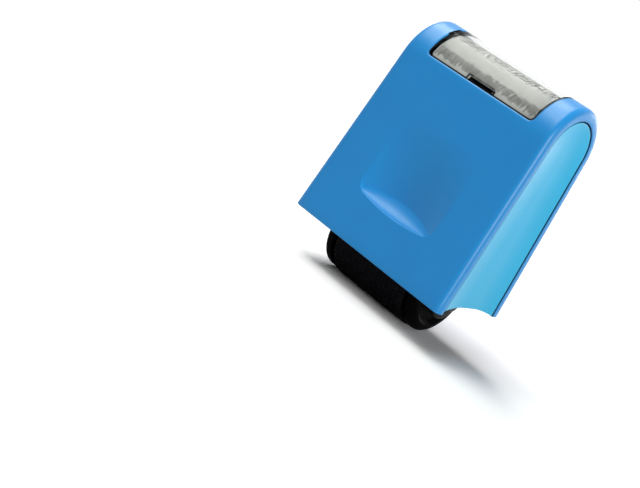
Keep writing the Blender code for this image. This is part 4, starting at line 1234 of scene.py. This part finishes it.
def make_card_print(material_dark, material_pale):
    """Generic strokes on the card: fine ticks along its front edge, pale dashes, and a darker band."""
    radius = TOP_RADIUS - POCKET_DEPTH + PART_GAP + CARD_THICKNESS
    common = {"Radius": radius, "Axis Y": 0.0, "Axis Z": CASE_EDGE_Z + TOP_CENTRE, "Bar Height": 0.00003}
    half = WINDOW_HALF_WIDTH - PART_GAP - CARD_END_MARGIN - 0.0008
    prints = []

    def strokes(name, material, angles, **sizes):
        merged = dict(common)
        merged["Start Angle"] = math.radians(angles[0])
        merged["Sweep"] = math.radians(angles[1] - angles[0])
        merged.update({key.replace("_", " "): value for key, value in sizes.items()})
        item = bars_round_axis(name, material, merged)
        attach(item, "casing")
        prints.append(item)

    strokes("card_ticks", material_dark, (148.0, 155.0), Width=2 * half, Columns=70, Rows=3, Jitter=0.0002,
            Angle_Jitter=0.05, Shortest=0.0008, Longest=0.0020, Bar_Width=0.00026, Lengthwise=0.0, Kept=0.85)
    strokes("card_dashes", material_pale, (124.0, 145.0), Width=2 * half, Columns=62, Rows=7, Jitter=0.0005,
            Angle_Jitter=0.02, Shortest=0.0003, Longest=0.0009, Bar_Width=0.00016, Lengthwise=0.5, Kept=0.7)
    strokes("card_band", material_dark, (108.0, 118.5), Width=2 * half, Columns=36, Rows=3, Jitter=0.0007,
            Angle_Jitter=0.04, Shortest=0.0009, Longest=0.0021, Bar_Width=0.00044, Lengthwise=0.3, Kept=0.9)
    strokes("card_rows", material_pale, (26.0, 103.0), Width=2 * half, Columns=56, Rows=20, Jitter=0.0005,
            Angle_Jitter=0.02, Shortest=0.0003, Longest=0.0010, Bar_Width=0.00014, Lengthwise=0.4, Kept=0.7)
    return prints


def make_die(material):
    """The rubber sleeve and its raised generic relief."""
    base = ROLLER_RADIUS - RELIEF
    edge = DIE_HALF_WIDTH
    inner = ROLLER_RADIUS - DIE_THICKNESS
    outline = eased([(edge, inner), (edge, base), (-edge, base), (-edge, inner)], 0.0002)
    sleeve = object_from("die_sleeve", shifted(turned(outline, 144), AXLE_PLACE), material)
    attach(sleeve, "stamp_roller")
    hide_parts("rubber_die")
    sizes = {"Radius": ROLLER_RADIUS - RELIEF / 2 - 0.00002, "Axis Y": AXLE_PLACE[1], "Axis Z": AXLE_PLACE[2],
             "Width": 2 * (DIE_HALF_WIDTH - RELIEF_MARGIN), "Columns": 34, "Rows": 92, "Start Angle": 0.0,
             "Sweep": math.tau * 91 / 92, "Jitter": 0.0005, "Angle Jitter": 0.02, "Shortest": 0.0003,
             "Longest": 0.0009, "Bar Width": 0.00022, "Lengthwise": 0.45, "Kept": 0.9, "Bar Height": RELIEF}
    relief = bars_round_axis("die_relief", material, sizes)
    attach(relief, "stamp_roller")
    return sleeve


def make_rim(name, side, material):
    """An end cap: spigot, dark groove, band, round shoulder and dished face."""
    bore = AXLE_RADIUS + RUN_GAP
    drum = ROLLER_RADIUS - DIE_THICKNESS - PART_GAP
    spigot = drum - DRUM_WALL - PART_GAP
    face = DIE_HALF_WIDTH + PART_GAP
    top = ROLLER_RADIUS - RIM_DROP
    band_end = RIM_START + RIM_BAND
    face_radius = top - RIM_SHOULDER
    outline = [(face, bore), (face, spigot - SPIGOT_WALL), (face - SPIGOT_LENGTH, spigot - SPIGOT_WALL),
               (face - SPIGOT_LENGTH, spigot), (face, spigot), (face, drum), (RIM_START, drum)]
    outline += arc((RIM_START + RUN_GAP * 2, top - RUN_GAP * 2), RUN_GAP * 2, math.pi, math.pi / 2, SMALL_STEPS)
    for angle in evenly(0.0, math.pi / 2, 12):
        outline.append((band_end + RIM_ROUND * math.sin(angle), top - RIM_SHOULDER * (1 - math.cos(angle))))
    hub = bore + HUB_WALL
    dish = RIM_END - RIM_WEB
    outline += [(dish, face_radius - RIM_WEB), (dish, hub), (RIM_END, hub), (RIM_END, bore)]
    bm = turned([(side * x, radius) for x, radius in outline])
    rim = weighted(object_from(name + "_cap", shifted(bm, AXLE_PLACE), material))
    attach(rim, "stamp_roller")
    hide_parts(name)
    return rim


def turned_piece(name, node, body, material, outline, place):
    piece = weighted(object_from(name, shifted(turned(outline), place), material))
    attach(piece, body)
    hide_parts(node)


def make_pins_and_core(dark_steel, steel, black):
    """Both axles with eased ends, the printing roller's with grooves for its clips, and the ink core."""
    end = CHEEK_OUTER + CLIP_THICKNESS + 2 * RUN_GAP + AXLE_OVERHANG
    near = CHEEK_OUTER + RUN_GAP
    far = near + CLIP_THICKNESS + RUN_GAP
    neck = AXLE_RADIUS - CLIP_GROOVE_DEPTH
    ease = CLIP_GROOVE_DEPTH / 2
    half = [(end, 0), (end, AXLE_RADIUS - ease), (end - ease, AXLE_RADIUS), (far, AXLE_RADIUS), (far, neck),
            (near, neck), (near, AXLE_RADIUS)]
    outline = half + [(-x, radius) for x, radius in reversed(half)]
    turned_piece("axle_pin", "stamp_axle", "cartridge", dark_steel, outline, AXLE_PLACE)
    end = CHEEK_OUTER - RUN_GAP
    half = [(end, 0), (end, INK_AXLE_RADIUS - ease), (end - ease, INK_AXLE_RADIUS)]
    outline = half + [(-x, radius) for x, radius in reversed(half)]
    turned_piece("ink_pin", "ink_axle", "ink_carriage", steel, outline, INK_PLACE)
    bore, core = INK_AXLE_RADIUS + RUN_GAP, INK_RADIUS - FOAM_THICKNESS - PART_GAP
    end = INK_HALF_WIDTH + INK_CORE_OVERHANG
    outline = eased([(end, bore), (end, core), (-end, core), (-end, bore)], PART_GAP)
    turned_piece("ink_spool", "ink_core", "ink_roller", black, outline, INK_PLACE)


# Mechanical pieces: copies of their CAD nodes with eased edges

def eased_copy(node, body, material, width):
    """The node's own shape with its sharp edges rounded."""
    bm = bmesh.new()
    bm.from_mesh(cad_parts[node].data)
    bmesh.ops.remove_doubles(bm, verts=bm.verts, dist=MERGE_DISTANCE)
    bmesh.ops.dissolve_limit(bm, angle_limit=math.radians(0.5), verts=bm.verts, edges=bm.edges)
    bmesh.ops.recalc_face_normals(bm, faces=bm.faces)
    item = object_from(node + "_eased", bm, material)
    bevel = item.modifiers.new("eased edges", "BEVEL")
    bevel.width = width
    bevel.segments = 2
    bevel.limit_method = "ANGLE"
    bevel.angle_limit = math.radians(40)
    baked(item)
    item.data.set_sharp_from_angle(angle=SMOOTH_ANGLE)
    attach(item, body)
    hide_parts(node)
    return item


# Stage

def make_camera():
    data = bpy.data.cameras.new("photo camera")
    data.lens = CAMERA_LENS
    data.sensor_width = CAMERA_SENSOR
    data.sensor_fit = "HORIZONTAL"
    data.clip_start = 0.01
    data.clip_end = 20
    camera = bpy.data.objects.new("photo camera", data)
    camera.location = CAMERA_PLACE
    camera.rotation_euler = [math.radians(turn) for turn in CAMERA_TURN]
    bpy.context.scene.collection.objects.link(camera)
    bpy.context.scene.camera = camera


def make_lamp(name, settings):
    direction, strength, width, tint = settings
    data = bpy.data.lights.new(name, "SUN")
    data.energy = strength
    data.color = tint
    data.angle = math.radians(width)
    lamp = bpy.data.objects.new(name, data)
    lamp.rotation_euler = Vector(direction).to_track_quat("Z", "Y").to_euler()
    bpy.context.scene.collection.objects.link(lamp)


def seen_directly(tree):
    """1 for rays of the camera, of reflections and through glass, and 0 for light's own rays."""
    rays = tree.nodes.new("ShaderNodeLightPath")

    def join(operation, one, other):
        node = tree.nodes.new("ShaderNodeMath")
        node.operation = operation
        tree.links.new(one, node.inputs[0])
        tree.links.new(other, node.inputs[1])
        return node.outputs[0]

    seen = join("MAXIMUM", rays.outputs["Is Camera Ray"], rays.outputs["Is Glossy Ray"])
    seen = join("MAXIMUM", seen, rays.outputs["Is Transmission Ray"])
    lit = tree.nodes.new("ShaderNodeMath")
    lit.operation = "LESS_THAN"
    lit.inputs[1].default_value = 0.5
    tree.links.new(rays.outputs["Diffuse Depth"], lit.inputs[0])
    return join("MULTIPLY", seen, lit.outputs[0])


def make_world():
    world = bpy.data.worlds.new("studio")
    bpy.context.scene.world = world
    world.use_nodes = True
    tree = world.node_tree
    background = tree.nodes["Background"]
    light = [part * AMBIENT_LIGHT for part in AMBIENT_TINT]
    mix = tree.nodes.new("ShaderNodeMix")
    mix.data_type = "RGBA"
    colours = [slot for slot in mix.inputs if slot.type == "RGBA"]
    colours[0].default_value = (*light, 1)
    colours[1].default_value = (1, 1, 1, 1)
    tree.links.new(seen_directly(tree), mix.inputs["Factor"])
    result = [slot for slot in mix.outputs if slot.type == "RGBA"][0]
    tree.links.new(result, background.inputs["Color"])


def make_floor():
    size = FLOOR_HALF_SIZE
    bm = bmesh.new()
    bm.faces.new([bm.verts.new((x * size, y * size, 0)) for x, y in ((-1, -1), (1, -1), (1, 1), (-1, 1))])
    material = bpy.data.materials.new("white floor")
    material.use_nodes = True
    tree = material.node_tree
    shader = tree.nodes["Principled BSDF"]
    shader.inputs["Roughness"].default_value = 1.0
    shader.inputs["Specular IOR Level"].default_value = 0.0
    blend = tree.nodes.new("ShaderNodeMix")
    blend.data_type = "RGBA"
    colours = [slot for slot in blend.inputs if slot.type == "RGBA"]
    colours[0].default_value = (FLOOR_SHADE, FLOOR_SHADE, FLOOR_SHADE, 1)
    colours[1].default_value = (*FLOOR_WHITE, 1)
    tree.links.new(seen_directly(tree), blend.inputs["Factor"])
    result = [slot for slot in blend.outputs if slot.type == "RGBA"][0]
    tree.links.new(result, shader.inputs["Base Color"])
    # From below, the floor lets the camera see the underside.
    side = tree.nodes.new("ShaderNodeNewGeometry")
    clear = tree.nodes.new("ShaderNodeBsdfTransparent")
    either = tree.nodes.new("ShaderNodeMixShader")
    tree.links.new(side.outputs["Backfacing"], either.inputs["Fac"])
    tree.links.new(shader.outputs["BSDF"], either.inputs[1])
    tree.links.new(clear.outputs["BSDF"], either.inputs[2])
    tree.links.new(either.outputs["Shader"], tree.nodes["Material Output"].inputs["Surface"])
    floor = object_from("floor", bm, material)
    # The stamp stands on its roller, so the floor goes with the cartridge.
    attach(floor, "cartridge")


def make_stage():
    make_camera()
    make_world()
    make_floor()
    for name, settings in LAMPS.items():
        make_lamp(name, settings)
    bpy.context.scene.view_settings.view_transform = "Standard"


def make_stamp():
    blue = blue_plastic("casing plastic", (0.012, 0.265, 0.700), 0.36)
    # Painted light: the panel plastic is lighter and more cyan than the casing's, standing in for the light on the
    # stamp's sides.
    panel_blue_painted_light = blue_plastic("panel plastic painted lighter", (0.014, 0.445, 0.800), 0.36)
    black = black_plastic("black plastic", 0.010, 0.42)
    rim_black = black_plastic("rim plastic", 0.0015, 0.46, 0.01)
    grey = black_plastic("acetal", 0.045, 0.40)
    rubber = die_rubber()
    steel = turned_steel("turned steel", (0.56, 0.57, 0.58), 0.26)
    dark_steel = turned_steel("blackened steel", (0.035, 0.035, 0.038), 0.34)
    # The pocket's wall and floor are painted near black: painted shade in the gap round the window.
    make_casing(blue, black_plastic("pocket painted shade", 0.006, 0.5))
    make_window(clear_plastic())
    make_card(card_stock())
    make_card_print(card_ink("print dark", 0.02), card_ink("print pale", 0.22))
    make_die(rubber)
    for name, side in (("left", -1), ("right", 1)):
        make_panel(f"side_panel_{name}", side, panel_blue_painted_light)
        make_rim(f"roller_rim_{name}", side, rim_black)
        eased_copy(f"cartridge_cheek_{name}", "cartridge", black, 0.00025)
        eased_copy(f"ink_block_{name}", "ink_carriage", grey, 0.00015)
        eased_copy(f"axle_clip_{name}", "cartridge", dark_steel, 0.00008)
    eased_copy("cartridge_frame", "cartridge", black, 0.00025)
    eased_copy("stamp_drum", "stamp_roller", black, 0.0002)
    make_pins_and_core(dark_steel, steel, black)
    make_screws(steel)
    make_springs(steel)
    make_foam(ink_foam_finish())


make_stage()
make_stamp()
